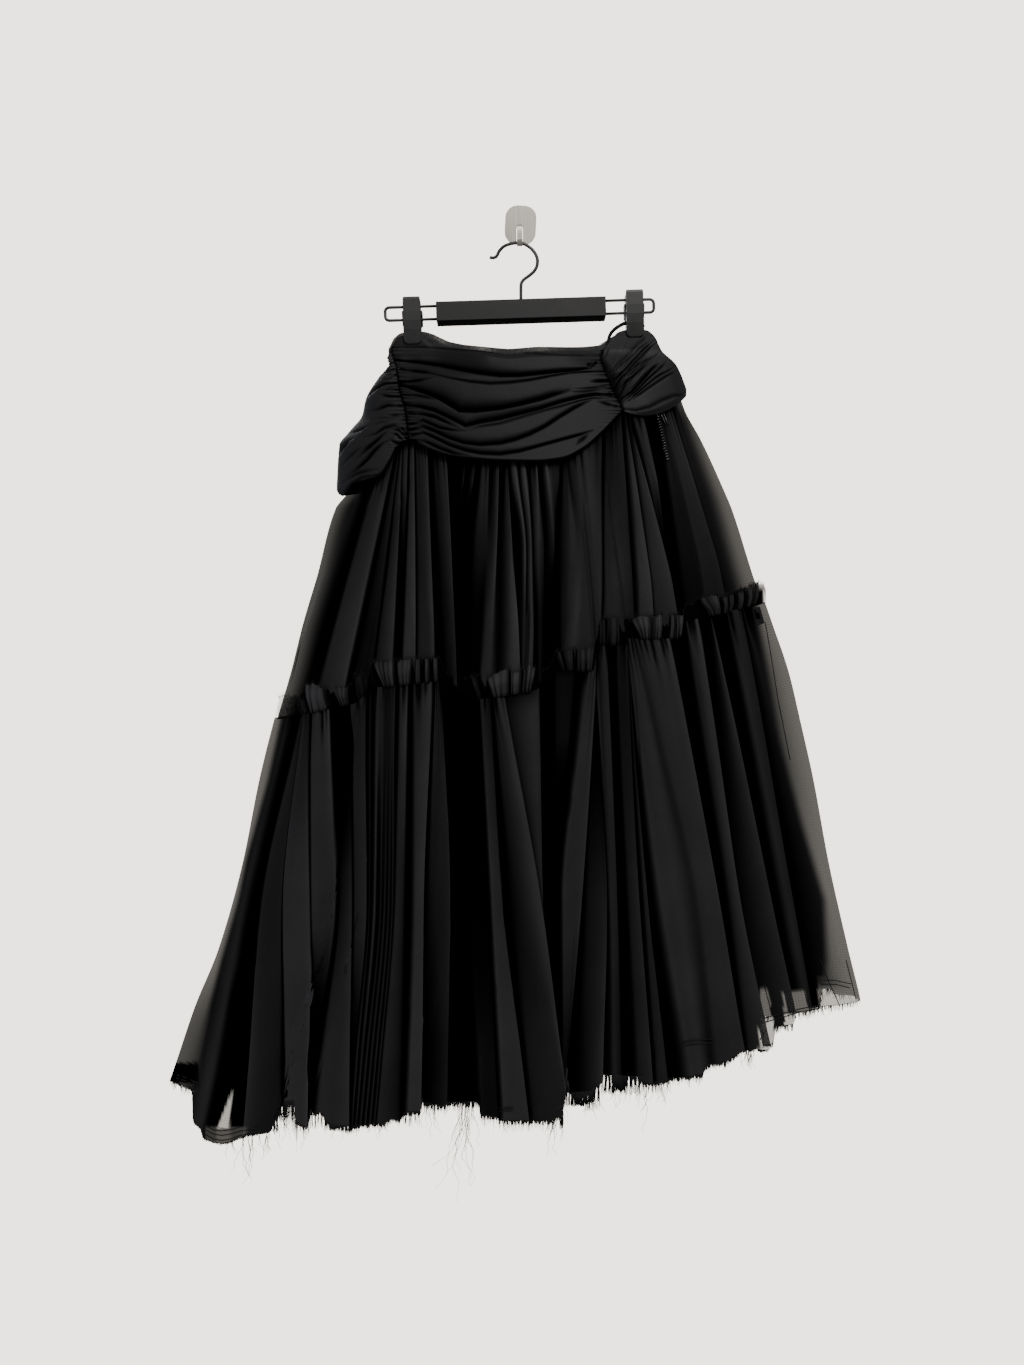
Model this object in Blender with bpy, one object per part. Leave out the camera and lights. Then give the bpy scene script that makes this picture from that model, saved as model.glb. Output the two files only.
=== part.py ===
"""A black midi skirt hung by two clips from a skirt hanger on a metal wall hook.

The wall is the plane y = 0 and the room is at negative y. The origin is the middle of the
wall hook's back. Sizes are in millimetres until they are placed, where MM turns them to metres.
"""

import math

import bmesh
import bpy
import numpy as np

MM = 0.001
GAP = 0.3  # between pieces that touch or are sewn together

# The cloth's tables give x and height as seen on the wall plane from straight in front.
# place() brings a point that stands nearer the eye in along its line of sight.
EYE_X = -9.8
EYE_HEIGHT = -525.6
EYE_DISTANCE = 1179.0

TIER_WALL = 1.2
YOKE_WALL = 1.6
UPPER_BACK_DEPTH = 7.4  # from the wall to the outside of the upper tier's back
LOWER_BACK_DEPTH = 5.6
YOKE_BACK_DEPTH = 5.3
YOKE_LIFT = 4.4  # the yoke's front stands this far outside the tiers' form
CLIP_DEPTH = 10.4  # the front cloth's outside where a clip pinches it

BLACK_CLOTH = (0.012, 0.012, 0.014)
BLACK_PLASTIC = (0.035, 0.034, 0.032)
BLACK_WIRE = (0.02, 0.02, 0.02)
STEEL = (0.52, 0.49, 0.46)


def table(columns, *rows):
    """Named columns from rows of numbers."""
    return dict(zip(columns.split(), np.array(rows, float).T))


# The tiers' form at each height: its left and right outline and its front's depth.
FORM = table(
    "height left right front",
    (-120, -120, 120, 22),
    (-195, -160, 182, 40),
    (-215, -168, 190, 46),
    (-247, -181, 207.6, 54),
    (-302, -195, 232.9, 70),
    (-326, -213, 243, 76),
    (-403, -234, 267.5, 94),
    (-457, -250, 286, 104),
    (-513, -264, 305, 114),
    (-572, -281, 319, 122),
    (-637, -297, 333.5, 131),
    (-732, -316, 351, 141),
    (-832, -344, 373.5, 150),
    (-898, -371, 389, 155),
    (-960, -392, 398, 159),
    (-1060, -426, 410, 164),
)

# The yoke's own outline, which stands out over the tiers at the left hip.
YOKE_FORM = table(
    "height left right front",
    (-112, -134, 140, 15),
    (-121, -139, 149, 18),
    (-130, -147.5, 153.5, 22),
    (-144, -152, 160, 27),
    (-159, -149, 175.6, 32),
    (-174, -160, 183, 37),
    (-199, -175, 191.5, 43),
    (-220, -180, 197, 48),
    (-238, -195, 203, 53),
    (-252, -205.6, 208, 57),
    (-285, -208, 222, 66),
    (-303, -208.7, 230, 70),
    (-314, -203, 236, 73),
)

# Edges of the yoke, read across.
WAIST_FRONT = table(
    "across height",
    (-160, -142),
    (-150, -141),
    (-140, -128),
    (-125, -125.5),
    (-113, -127.5),
    (-101, -137),
    (-80, -140.5),
    (-40, -144.5),
    (-13, -147.5),
    (19, -145),
    (62, -144.5),
    (92, -143.5),
    (100.6, -135),
    (106.8, -124.5),
    (121.3, -119),
    (143.2, -120),
    (152.4, -128),
    (160, -143),
)
WAIST_BACK = table(
    "across height",
    (-153, -145),
    (-147, -131),
    (-137, -123.5),
    (-113, -122),
    (-102, -124.5),
    (-84, -133),
    (-66, -137),
    (-40, -139.5),
    (-13, -142),
    (19, -139.5),
    (63, -140),
    (90, -138),
    (107, -127),
    (121, -121),
    (143, -122),
    (152.4, -130),
    (161, -144),
)
YOKE_FOOT_FRONT = table(
    "across height",
    (-209, -312),
    (-203, -311),
    (-189.5, -297),
    (-160, -287),
    (-149, -270),
    (-140.9, -254),
    (-128, -246),
    (-104.4, -257),
    (-83.8, -264),
    (-54.6, -268.5),
    (-25, -270.8),
    (18.7, -271.7),
    (47.7, -268.3),
    (71.6, -256.6),
    (92, -238.6),
    (112.7, -217),
    (118, -212),
    (136.3, -218),
    (153.5, -216.8),
    (177.2, -204),
    (192, -195),
)
YOKE_FOOT_BACK = table(
    "across height",
    (-209, -312),
    (-150, -303),
    (-60, -285),
    (40, -258),
    (120, -226),
    (192, -195),
)

# The shirred seams between the yoke's centre and side fronts.
SEAMS = table(
    "height left right",
    (-135, -149.5, 95.5),
    (-153.5, -145.5, 92.5),
    (-164, -141.5, 96),
    (-189, -138, 106.3),
    (-215.6, -131, 117.5),
    (-246, -128, 118.5),
)

# The centre front's creases: how far down each lies at the left seam, in the middle and at
# the right seam, in hundredths, and how far the band under it puffs out, in millimetres.
CENTRE_CREASES = table(
    "left middle right puff",
    (0, 0, 0, 4.0),
    (9, 20, 33, 4.5),
    (19, 28, 43, 7.0),
    (36, 54, 62, 5.0),
    (51, 65, 76, 4.0),
    (67, 76, 86, 3.5),
    (83, 88, 93, 3.0),
    (100, 100, 100, 0.0),
)
LEFT_CREASES = table(
    "down puff",
    (0, 2.0),
    (14, 3.0),
    (27, 4.0),
    (40, 3.5),
    (52, 5.0),
    (66, 4.5),
    (78, 5.5),
    (100, 0.0),
)
BACK_CREASES = table(
    "left middle right puff",
    (0, 0, 0, 0.6),
    (16, 14, 20, 2.2),
    (28, 30, 34, 2.4),
    (42, 46, 50, 2.2),
    (58, 62, 66, 2.4),
    (72, 76, 80, 2.2),
    (84, 88, 90, 2.0),
    (100, 100, 100, 0.0),
)

# The right front fans out from the foot of its seam: where each crease starts down the
# seam, its far end, how far it bows, and how far the band after it puffs out.
FAN = table(
    "start x height bow puff",
    (-143, 101, -135.5, 0.0, 0.5),
    (-160, 112, -122.5, 1.0, 2.5),
    (-176, 127, -119.3, 1.0, 3.0),
    (-187, 143, -120.2, 0.0, 3.5),
    (-194, 153, -129, -1.0, 4.0),
    (-199, 160, -143, -2.0, 4.5),
    (-203, 169.5, -152.5, -3.0, 4.5),
    (-206.5, 177.5, -162, -4.0, 5.0),
    (-209.5, 183.5, -175, -6.0, 6.5),
    (-213, 191.5, -195, -13.0, 0.0),
)
SEAM_ALLOWANCE = 0.8  # between the yoke's fronts along their seams
FOLD_STEEPNESS = 0.32  # the most that a band puffs out for its width
CENTRE_COLUMNS = 17
SIDE_PANEL_COLUMNS = 8
BACK_COLUMNS = 19

# The groups of the header ruffle: where each starts and ends across, in hundredths, the
# height of the stitching there, how tall the frayed header stands, how far the group
# pushes out, how far the cloth falls back beside it, and the group's waves.
GROUPS = table(
    "start end stitch_start stitch_end header_start header_end push dip waves",
    (4.4, 14.4, -563, -550, 34, 20, 5, 6, 4),
    (16.7, 30.3, -532, -524, 25, 25, 6, 11, 6),
    (36.9, 49.5, -546, -535, 26, 27, 7, 8, 5),
    (53.6, 61.2, -512, -512, 22, 19, 5, 5, 3),
    (62.5, 68.6, -482, -482, 28, 29, 5, 3, 3),
    (69.0, 79.8, -475, -475, 32, 24, 6, 5, 5),
    (82.1, 97.4, -455, -436, 18, 23, 5, 0, 7),
)
SIDE_STITCH_LEFT = -566.0
SIDE_STITCH_RIGHT = -433.0
SIDE_HEADER = 22.0

# The folds of each tier's front: the crest's place across and half width, in hundredths,
# how far it stands out, and how far the valley after it falls back, in millimetres.
UPPER_FOLDS = table(
    "across half rise dip",
    (8.2, 2.4, 6, 5),
    (13.3, 0.9, 6, 6),
    (17.4, 1.0, 7, 7),
    (21.9, 1.0, 7, 5),
    (25.4, 1.2, 6, 6),
    (30.0, 1.3, 8, 13),
    (37.7, 1.5, 8, 5),
    (41.0, 0.8, 6, 6),
    (44.2, 0.9, 7, 6),
    (47.4, 0.9, 7, 6),
    (51.0, 1.4, 8, 10),
    (60.2, 3.2, 8, 7),
    (67.8, 2.4, 8, 6),
    (73.2, 1.0, 6, 5),
    (76.8, 1.3, 7, 11),
    (82.8, 1.1, 6, 5),
    (86.8, 1.7, 6, 5),
    (91.4, 1.3, 5, 4),
    (95.3, 1.0, 3, 2),
)
LOWER_FOLDS = table(
    "across half rise dip",
    (4.0, 0.8, 3, 5),
    (9.2, 2.2, 10, 6),
    (13.4, 1.4, 9, 9),
    (19.6, 2.2, 10, 5),
    (24.0, 0.6, 6, 4),
    (25.7, 0.6, 6, 4),
    (27.4, 0.6, 6, 4),
    (29.1, 0.6, 6, 5),
    (31.8, 0.9, 8, 8),
    (36.2, 0.6, 5, 22),
    (42.4, 1.2, 9, 6),
    (45.7, 1.4, 10, 8),
    (50.2, 1.9, 11, 14),
    (55.6, 1.6, 10, 8),
    (59.7, 1.5, 10, 8),
    (62.6, 0.6, 5, 7),
    (66.4, 1.3, 8, 7),
    (73.6, 2.6, 11, 8),
    (79.0, 1.3, 9, 12),
    (82.9, 0.9, 6, 5),
    (86.0, 1.5, 9, 8),
    (90.4, 1.3, 8, 7),
    (94.0, 1.0, 6, 4),
    (97.0, 0.7, 3, 2),
)
UPPER_BACK_FOLDS = 14
LOWER_BACK_FOLDS = 20
HEADER_BACK_WAVES = 26
TUCK = 5.0  # the upper tier runs this far up behind the yoke

# The front hem as seen, read across the wall plane.
HEM_FRONT = table(
    "across height",
    (-401, -984),
    (-385, -1010),
    (-363, -1048),
    (-341, -1054),
    (-312, -1046),
    (-286, -1040),
    (-262, -1022),
    (-242, -1022),
    (-225, -1046),
    (-195, -1040),
    (-155, -1036),
    (-115, -1019),
    (-84, -1014),
    (-60, -1011),
    (-48, -1025),
    (-12, -1034),
    (20, -1033),
    (45, -1026),
    (52, -1006),
    (92, -1003),
    (145, -996),
    (206, -985),
    (224, -966),
    (272, -949),
    (300, -925),
    (343, -909),
    (388, -894),
)
HEM_BACK = table(
    "across height",
    (-401, -984),
    (-371, -995),
    (-250, -984),
    (-80, -960),
    (120, -932),
    (300, -906),
    (388, -894),
)

# Loose threads of the front hem, as seen: place, length and how far the tip swings aside.
LOOSE_THREADS = table(
    "x length lean",
    (-330, 45, 3),
    (-314, 52, -4),
    (-285, 32, 3),
    (-252, 30, -3),
    (-225, 22, 2),
    (-140, 35, -3),
    (-117, 70, 5),
    (-62, 92, 4),
    (-72, 56, -4),
    (36, 28, 3),
    (62, 52, -5),
    (100, 30, 3),
    (136, 38, -3),
    (152, 22, 2),
)
THREAD_ROOT = 1.0
STRIP_HEIGHT = 1.4
FACING_WALL = 1.0
PATCH_WALL = 1.1
NARROW = 1.2  # columns closer than this, in wall thicknesses

# The zip strip under the yoke and the tab in the side seam: how far down their tier the rows
# lie, and the shares across the tier between which they run.
ZIP_DOWN = (0.05, 0.10, 0.17, 0.24)
ZIP_SHARES = (0.872, 0.9)
TAB_DOWN = (0.012, 0.045, 0.08)
TAB_SHARES = (0.962, 0.988)
PATCH_OUT = 0.5

# The ribbon loop from inside the waist up behind the right clip, as seen.
RIBBON = table(
    "x height depth",
    (100.6, -152, 9.4),
    (100.8, -134, 9.8),
    (104, -124, 10.6),
    (112, -116.5, 11.2),
    (122.5, -111.5, 11.2),
    (131, -110.5, 11.2),
    (138, -112.5, 11.2),
    (141.5, -117.0, 11.2),
)

# The wall hook: a rounded plate with a tongue cut and bent out of it.
PLATE_WIDTH = 35.8
PLATE_HEIGHT = 44.8
PLATE_CORNER = 14.0
PLATE_THICKNESS = 1.2
PLATE_LEAN = 3.0  # degrees, clockwise as seen
TONGUE_WIDTH = 6.3
SLOT_TOP = 3.4
SLOT_FOOT = 18.5
TONGUE = table(
    "depth height",
    (0.7, 0.5),
    (0.7, -3.4),
    (2.6, -9.6),
    (5.6, -17.5),
    (8.2, -24.4),
    (9.7, -27.3),
    (12.0, -28.3),
    (14.4, -27.3),
    (15.5, -24.4),
    (15.6, -20.5),
)

# The hanger hangs in the plane HANGER_DEPTH before the wall and leans up to the right.
HANGER_DEPTH = 12.0
HANGER_LEAN = 1.8
HOOK_WIRE = 2.5
HOOK = table(
    "x height",
    (-34.8, -41.9),
    (-30.5, -42.3),
    (-27.0, -40.2),
    (-25.0, -35.5),
    (-19.6, -29.6),
    (-12, -26.4),
    (-3, -25.2),
    (5, -26.8),
    (13, -32.6),
    (18, -40.2),
    (19.2, -48.5),
    (16, -56.8),
    (9.6, -62.6),
    (3.0, -67.6),
    (0.6, -72.0),
    (0.3, -78),
    (0.3, -88),
    (0.3, -97),
)
STEM_X = 0.3
BAR_X = -2.9
BAR_Z = -103.3
BAR_WIDTH = 192.0
BAR_SIDE = 21.0
BAR_WALL = 1.6
WIRE = 2.3
LOOP_Z = -101.5
LOOP_HALF = 7.4
LOOP_CORNER = 4.6
LOOP_LEFT = -158.5
LOOP_RIGHT = 149.5
CLIP_X = 126.5
CLIP_SHIFT = -0.3
CLIP_TOP = -84.3
CLIP_FEET = ((-124.8, -136.0), (132.7, -127.5))  # as seen

# The clips' jaws, from their top down: half their width, and the depth of face and back.
FRONT_JAW = table(
    "drop half face back",
    (0.0, 8.4, 17.6, 15.6),
    (0.7, 9.5, 18.4, 15.0),
    (3.0, 9.9, 18.8, 14.6),
    (17.0, 9.9, 18.8, 13.5),
    (27.0, 9.95, 18.4, 13.5),
    (37.0, 10.1, 17.2, 12.6),
    (45.5, 10.2, 15.4, 11.2),
    (49.0, 9.5, 14.6, 10.85),
    (51.2, 7.4, 14.0, 10.85),
    (52.0, 4.6, 13.4, 10.95),
)
BACK_JAW = table(
    "drop half face back",
    (2.0, 8.6, 9.0, 4.0),
    (3.0, 9.7, 9.6, 3.0),
    (13.0, 9.7, 10.5, 2.4),
    (14.6, 11.6, 13.15, 2.4),
    (20.0, 11.6, 13.15, 2.4),
    (21.6, 11.6, 10.5, 2.4),
    (29.0, 11.6, 8.4, 2.2),
    (31.0, 9.8, 7.0, 2.2),
    (33.5, 9.8, 4.8, 2.0),
    (49.5, 9.4, 4.8, 2.0),
    (51.6, 6.0, 4.6, 2.2),
)


def smooth(xs, ys, at):
    """The height at a place on a smooth curve through points, with no overshoot."""
    order = np.argsort(xs)
    xs, ys = xs[order], ys[order]
    at = min(max(at, xs[0]), xs[-1])
    steps = np.diff(xs)
    slopes = np.diff(ys) / steps
    same_way = slopes[:-1] * slopes[1:] > 0
    total = np.where(same_way, slopes[:-1] + slopes[1:], 1.0)
    inner = np.where(same_way, 2 * slopes[:-1] * slopes[1:] / total, 0.0)
    tangents = np.concatenate(([slopes[0]], inner, [slopes[-1]]))
    i = min(max(int(np.searchsorted(xs, at)) - 1, 0), len(steps) - 1)
    u = (at - xs[i]) / steps[i]
    start = ys[i] * (1 + 2 * u) + tangents[i] * steps[i] * u
    finish = ys[i + 1] * (3 - 2 * u) - tangents[i + 1] * steps[i] * (1 - u)
    return start * (1 - u) ** 2 + finish * u**2


def read(rows, key, at, column):
    return smooth(rows[key], rows[column], at)


def mix(a, b, share):
    return a + (b - a) * share


def ease(share):
    share = min(max(share, 0.0), 1.0)
    return share * share * (3 - 2 * share)


def place(x, height, depth):
    """The world point that is seen at x and height on the wall and stands depth before it."""
    near = 1.0 - depth / EYE_DISTANCE
    return (
        (EYE_X + (x - EYE_X) * near) * MM,
        -depth * MM,
        (EYE_HEIGHT + (height - EYE_HEIGHT) * near) * MM,
    )


def material(name, colour, roughness, metallic=0.0):
    made = bpy.data.materials.new(name)
    made.use_nodes = True
    shader = made.node_tree.nodes["Principled BSDF"]
    shader.inputs["Base Color"].default_value = (*colour, 1.0)
    shader.inputs["Roughness"].default_value = roughness
    shader.inputs["Metallic"].default_value = metallic
    return made


def new_object(name, data, colour, roughness, metallic=0.0, parent=None):
    made = bpy.data.objects.new(name, data)
    bpy.context.scene.collection.objects.link(made)
    data.materials.append(material(name, colour, roughness, metallic))
    made.parent = parent
    return made


def mesh_object(name, points, faces, colour, roughness, metallic=0.0, parent=None, angle=50):
    mesh = bpy.data.meshes.new(name)
    mesh.from_pydata([tuple(p) for p in points], [], faces)
    solid = bmesh.new()
    solid.from_mesh(mesh)
    bmesh.ops.recalc_face_normals(solid, faces=solid.faces)
    solid.to_mesh(mesh)
    solid.free()
    mesh.shade_smooth()
    mesh.set_sharp_from_angle(angle=math.radians(angle))
    return new_object(name, mesh, colour, roughness, metallic, parent)


def unit(vectors):
    length = np.linalg.norm(vectors, axis=-1, keepdims=True)
    return vectors / np.maximum(length, 1e-12)


def inner_points(outer, thickness, inward, end_ways):
    """The grid one wall thickness behind outer; inward says which side that is.

    Columns too close together for their normals step straight back or forward instead.
    """
    across = outer[:, 1:] - outer[:, :-1]
    down = outer[1:] - outer[:-1]
    faces = unit(np.cross(across[:-1] + across[1:], down[:, :-1] + down[:, 1:]))
    rows, columns = outer.shape[:2]
    total = np.zeros((rows, columns, 3))
    count = np.zeros((rows, columns, 1))
    for r in (0, 1):
        for c in (0, 1):
            total[r : r + rows - 1, c : c + columns - 1] += faces
            count[r : r + rows - 1, c : c + columns - 1] += 1
    mean = total / count
    normals = unit(mean)
    spread = np.clip(np.linalg.norm(mean, axis=-1, keepdims=True), 0.75, 1.0)
    step = inward * normals * thickness * MM / spread
    for column, way in zip((0, -1), end_ways):
        if way:
            step[:, column] = np.array(way) * thickness * MM
    spacing = np.linalg.norm(across, axis=-1) / MM
    left = np.pad(spacing, ((0, 0), (1, 0)), mode="edge")
    right = np.pad(spacing, ((0, 0), (0, 1)), mode="edge")
    step[np.minimum(left, right) < NARROW * thickness] = (0, inward * thickness * MM, 0)
    return outer + step


def grid_faces(rows, columns, start, flip):
    """Triangles of a grid, all cut along the same diagonal."""
    faces = []
    for r in range(rows - 1):
        for c in range(columns - 1):
            a = start + r * columns + c
            b, d = a + 1, a + columns
            e = d + 1
            pair = [(a, d, e), (a, e, b)]
            faces += [tuple(reversed(f)) for f in pair] if flip else pair
    return faces


def wall(name, outer, thickness, inward, end_ways=(None, None), seam_depth=None):
    """Cloth as a closed wall: its outer points, and the same points one thickness in."""
    outer = np.array(outer)
    inner = inner_points(outer, thickness, inward, end_ways)
    if seam_depth:
        inner[:, :, 1] = np.minimum(inner[:, :, 1], -seam_depth * MM)
    rows, columns = outer.shape[:2]
    size = rows * columns
    points = np.concatenate((outer.reshape(-1, 3), inner.reshape(-1, 3)))
    faces = grid_faces(rows, columns, 0, False) + grid_faces(rows, columns, size, True)
    rim = [c for c in range(columns)]
    rim += [r * columns + columns - 1 for r in range(1, rows)]
    rim += [(rows - 1) * columns + c for c in range(columns - 2, -1, -1)]
    rim += [r * columns for r in range(rows - 2, 0, -1)]
    for a, b in zip(rim, rim[1:] + rim[:1]):
        faces += [(a, b, b + size), (a, b + size, a + size)]
    mesh_object(name, points, faces, BLACK_CLOTH, 0.85)
    return outer, inner


def bulge(share):
    """How full the front stands, from 0 at the side seams to 1 in the middle."""
    share = min(max(share, 0.0), 1.0)
    return (1 - abs(2 * share - 1) ** 2.6) ** 0.6


def form_point(form, share, height, back):
    """A place on the plain front form, as seen x and depth."""
    left = read(form, "height", height, "left")
    right = read(form, "height", height, "right")
    front = read(form, "height", height, "front")
    return np.array((mix(left, right, share), mix(back, front, bulge(share))))


def push_out(form, share, height, back, push):
    """The same place moved out by push, square to the form."""
    here = form_point(form, share, height, back)
    before = form_point(form, max(share - 0.004, 0.0), height, back)
    after = form_point(form, min(share + 0.004, 1.0), height, back)
    run = after - before
    out = np.array((-run[1], run[0])) / np.hypot(*run)
    return here + out * push


def share_at(form, x, height):
    left = read(form, "height", height, "left")
    right = read(form, "height", height, "right")
    return min(max((x - left) / (right - left), 0.0), 1.0)


def height_on_edge(form, edge, share):
    """The height where the line at this share across the form meets an edge."""
    height = edge["height"].mean()
    for _ in range(12):
        left = read(form, "height", height, "left")
        right = read(form, "height", height, "right")
        found = read(edge, "across", mix(left, right, share), "height")
        height = mix(height, found, 0.7)
    return height


def ruffle_line(share, start, end, left, right):
    """A value along the ruffle line, from the groups' two columns."""
    places, values = [0.0], [left]
    for k in range(len(GROUPS["start"])):
        places += [GROUPS["start"][k], GROUPS["end"][k]]
        values += [GROUPS[start][k], GROUPS[end][k]]
    places.append(100.0)
    values.append(right)
    return float(np.interp(share * 100, places, values))


def stitch_height(share):
    return ruffle_line(share, "stitch_start", "stitch_end", SIDE_STITCH_LEFT, SIDE_STITCH_RIGHT)


def header_height(share):
    return ruffle_line(share, "header_start", "header_end", SIDE_HEADER, SIDE_HEADER)


def swell_knots():
    """Places across, in hundredths, and how far the groups push out or fall back there."""
    knots = [(0.0, 0.0)]
    count = len(GROUPS["start"])
    for k in range(count):
        start, end = GROUPS["start"][k], GROUPS["end"][k]
        knots += [(start, 0.0), ((start + end) / 2, GROUPS["push"][k]), (end, 0.0)]
        if k + 1 < count:
            knots.append(((end + GROUPS["start"][k + 1]) / 2, -GROUPS["dip"][k]))
    return knots + [(100.0, 0.0)]


def swell(share):
    places, values = zip(*swell_knots())
    return float(np.interp(share * 100, places, values))


def on_knots(columns):
    """The columns with one on each place where the ruffle line turns."""
    knots = [at / 100 for at, _ in swell_knots()[1:-1]]
    shares = [share for share, _ in columns]
    levels = [level for _, level in columns]
    kept = [
        (share, level)
        for share, level in columns
        if share in (0.0, 1.0) or min(abs(share - knot) for knot in knots) > 0.005
    ]
    kept += [(knot, float(np.interp(knot, shares, levels))) for knot in knots]
    return sorted(kept)


def fold_columns(folds, side_columns):
    """Columns across a panel as share and level: crests out, valleys back."""
    columns = [(s, 0.0) for s in side_columns]
    count = len(folds["across"])
    for k in range(count):
        crest, half = folds["across"][k] / 100, folds["half"][k] / 100
        rise = folds["rise"][k]
        columns.append((crest - half, 0.55 * rise))
        if half > 0.011:
            columns.append((crest, rise))
        columns.append((crest + half, 0.55 * rise))
        if k + 1 < count:
            after = (folds["across"][k + 1] - folds["half"][k + 1]) / 100
            gap = after - crest - half
            dip = -folds["dip"][k]
            if gap > 0.028:
                columns += [(mix(crest + half, after, s), dip) for s in (0.3, 0.7)]
            else:
                columns.append((mix(crest + half, after, 0.5), dip))
    columns += [(1 - s, 0.0) for s in reversed(side_columns)]
    return columns


def even_folds(count, depth, phase):
    """Folds of a hidden side: as many as count, a little uneven in place and depth."""
    columns = []
    for k in range(count):
        crest = (k + 0.5 + 0.18 * math.sin(2.4 * k + phase)) / count
        half = (0.19 + 0.05 * math.sin(1.7 * k + phase)) / count
        rise = depth * (0.8 + 0.2 * math.sin(3.1 * k + phase))
        columns += [(crest - half, 0.0), (crest + half, 0.0)]
        if k + 1 < count:
            columns.append(((k + 1 + 0.1 * math.sin(1.3 * k)) / count, rise))
    return [(0.0, 0.0), (0.008, 0.0)] + columns + [(0.992, 0.0), (1.0, 0.0)]


SIDEWAYS = ((1, 0, 0), (-1, 0, 0))
FORWARD = ((0, -1, 0), (0, -1, 0))
BACKWARD = (0, 1, 0)
SIDE_COLUMNS = (0.0, 0.007, 0.026)
UPPER_SEAM_DEPTH = UPPER_BACK_DEPTH + TIER_WALL + GAP
LOWER_SEAM_DEPTH = LOWER_BACK_DEPTH + TIER_WALL + GAP
YOKE_SEAM_DEPTH = YOKE_BACK_DEPTH + YOKE_WALL + GAP
UPPER_ROWS = table(
    "down folds swell",
    (0.0, 0.12, 0.0),
    (0.10, 0.45, 0.1),
    (0.35, 0.9, 0.4),
    (0.70, 1.0, 0.8),
    (0.88, 0.5, 1.0),
    (1.0, 0.0, 1.0),
)
LOWER_ROWS = table(
    "down folds swell",
    (0.0, 0.0, 1.0),
    (0.08, 0.35, 1.0),
    (0.32, 0.75, 0.8),
    (0.66, 0.95, 0.5),
    (1.0, 1.15, 0.3),
)
TIER_OVERLAP = 2.0  # the upper tier's foot hangs this far below the stitching
LOWER_OUT = TIER_WALL + 2.3  # from the upper tier's outside to the lower tier's


def at_front(share, height, push, seam_depth):
    x, depth = push_out(FORM, share, height, seam_depth, push)
    return place(x, height, depth)


def tier_front(name, columns, rows, top, foot, out, seam_depth):
    outer = []
    for down, folds, swelling in zip(rows["down"], rows["folds"], rows["swell"]):
        line = []
        for share, level in columns:
            height = mix(top(share), foot(share), down)
            push = out + level * folds + swell(share) * swelling
            line.append(at_front(share, height, push, seam_depth))
        outer.append(line)
    return wall(name, outer, TIER_WALL, 1, SIDEWAYS)


def tier_back(name, columns, downs, top, foot, growth, out, depth):
    """A back panel: crests lie by the wall, valleys reach in towards the front."""
    outer = []
    for down in downs:
        line = []
        for share, level in columns:
            height = mix(top(share), foot(share), down)
            left = read(FORM, "height", height, "left") - out
            right = read(FORM, "height", height, "right") + out
            reach = level * mix(growth[0], growth[1], down)
            line.append(place(mix(left, right, share), height, depth + reach))
        outer.append(line)
    return wall(name, outer, TIER_WALL, -1, FORWARD)


def upper_top(share):
    return height_on_edge(FORM, YOKE_FOOT_FRONT, share) + TUCK


def upper_top_back(share):
    return height_on_edge(FORM, YOKE_FOOT_BACK, share) + TUCK


def upper_foot(share):
    return stitch_height(share) - TIER_OVERLAP


def stitch_height_back(share):
    return mix(SIDE_STITCH_LEFT, SIDE_STITCH_RIGHT, share) - 10 * math.sin(math.pi * share)


def hem_front(share):
    return height_on_edge(FORM, HEM_FRONT, share)


def hem_back(share):
    return height_on_edge(FORM, HEM_BACK, share)


def build_upper_tier():
    columns = on_knots(fold_columns(UPPER_FOLDS, SIDE_COLUMNS))
    front = tier_front(
        "upper_tier_front", columns, UPPER_ROWS, upper_top, upper_foot, 0.0, UPPER_SEAM_DEPTH
    )
    tier_back(
        "upper_tier_back",
        even_folds(UPPER_BACK_FOLDS, 12.0, 0.4),
        (0.0, 0.2, 0.6, 1.0),
        upper_top_back,
        lambda share: stitch_height_back(share) - TIER_OVERLAP,
        (0.1, 1.0),
        0.0,
        UPPER_BACK_DEPTH,
    )
    patch("side_zip", front[0], columns, UPPER_ROWS["down"], ZIP_DOWN, ZIP_SHARES)


def build_lower_tier():
    columns = on_knots(fold_columns(LOWER_FOLDS, SIDE_COLUMNS))
    front = tier_front(
        "lower_tier_front",
        columns,
        LOWER_ROWS,
        lambda share: stitch_height(share) - GAP / 2,
        hem_front,
        LOWER_OUT,
        LOWER_SEAM_DEPTH,
    )
    back = tier_back(
        "lower_tier_back",
        even_folds(LOWER_BACK_FOLDS, 18.0, 1.1),
        (0.0, 0.1, 0.5, 1.0),
        lambda share: stitch_height_back(share) - GAP / 2,
        hem_back,
        (0.0, 1.0),
        LOWER_OUT,
        LOWER_BACK_DEPTH,
    )
    patch("seam_tab", front[0], columns, LOWER_ROWS["down"], TAB_DOWN, TAB_SHARES)
    return front, back


def header_columns():
    """Waves of the header, whole ones in each group and one in each recess."""
    columns = [(s, 0.0) for s in SIDE_COLUMNS]
    count = len(GROUPS["start"])
    for k in range(count):
        start, end = GROUPS["start"][k] / 100, GROUPS["end"][k] / 100
        waves = int(GROUPS["waves"][k])
        for wave in range(waves):
            columns.append((mix(start, end, wave / waves), 0.0))
            columns.append((mix(start, end, (wave + 0.5) / waves), 1.0))
        columns.append((end, 0.0))
        if k + 1 < count:
            columns.append(((end + GROUPS["start"][k + 1] / 100) / 2, 0.6))
    return columns + [(1 - s, 0.0) for s in reversed(SIDE_COLUMNS[:-1])]


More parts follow.
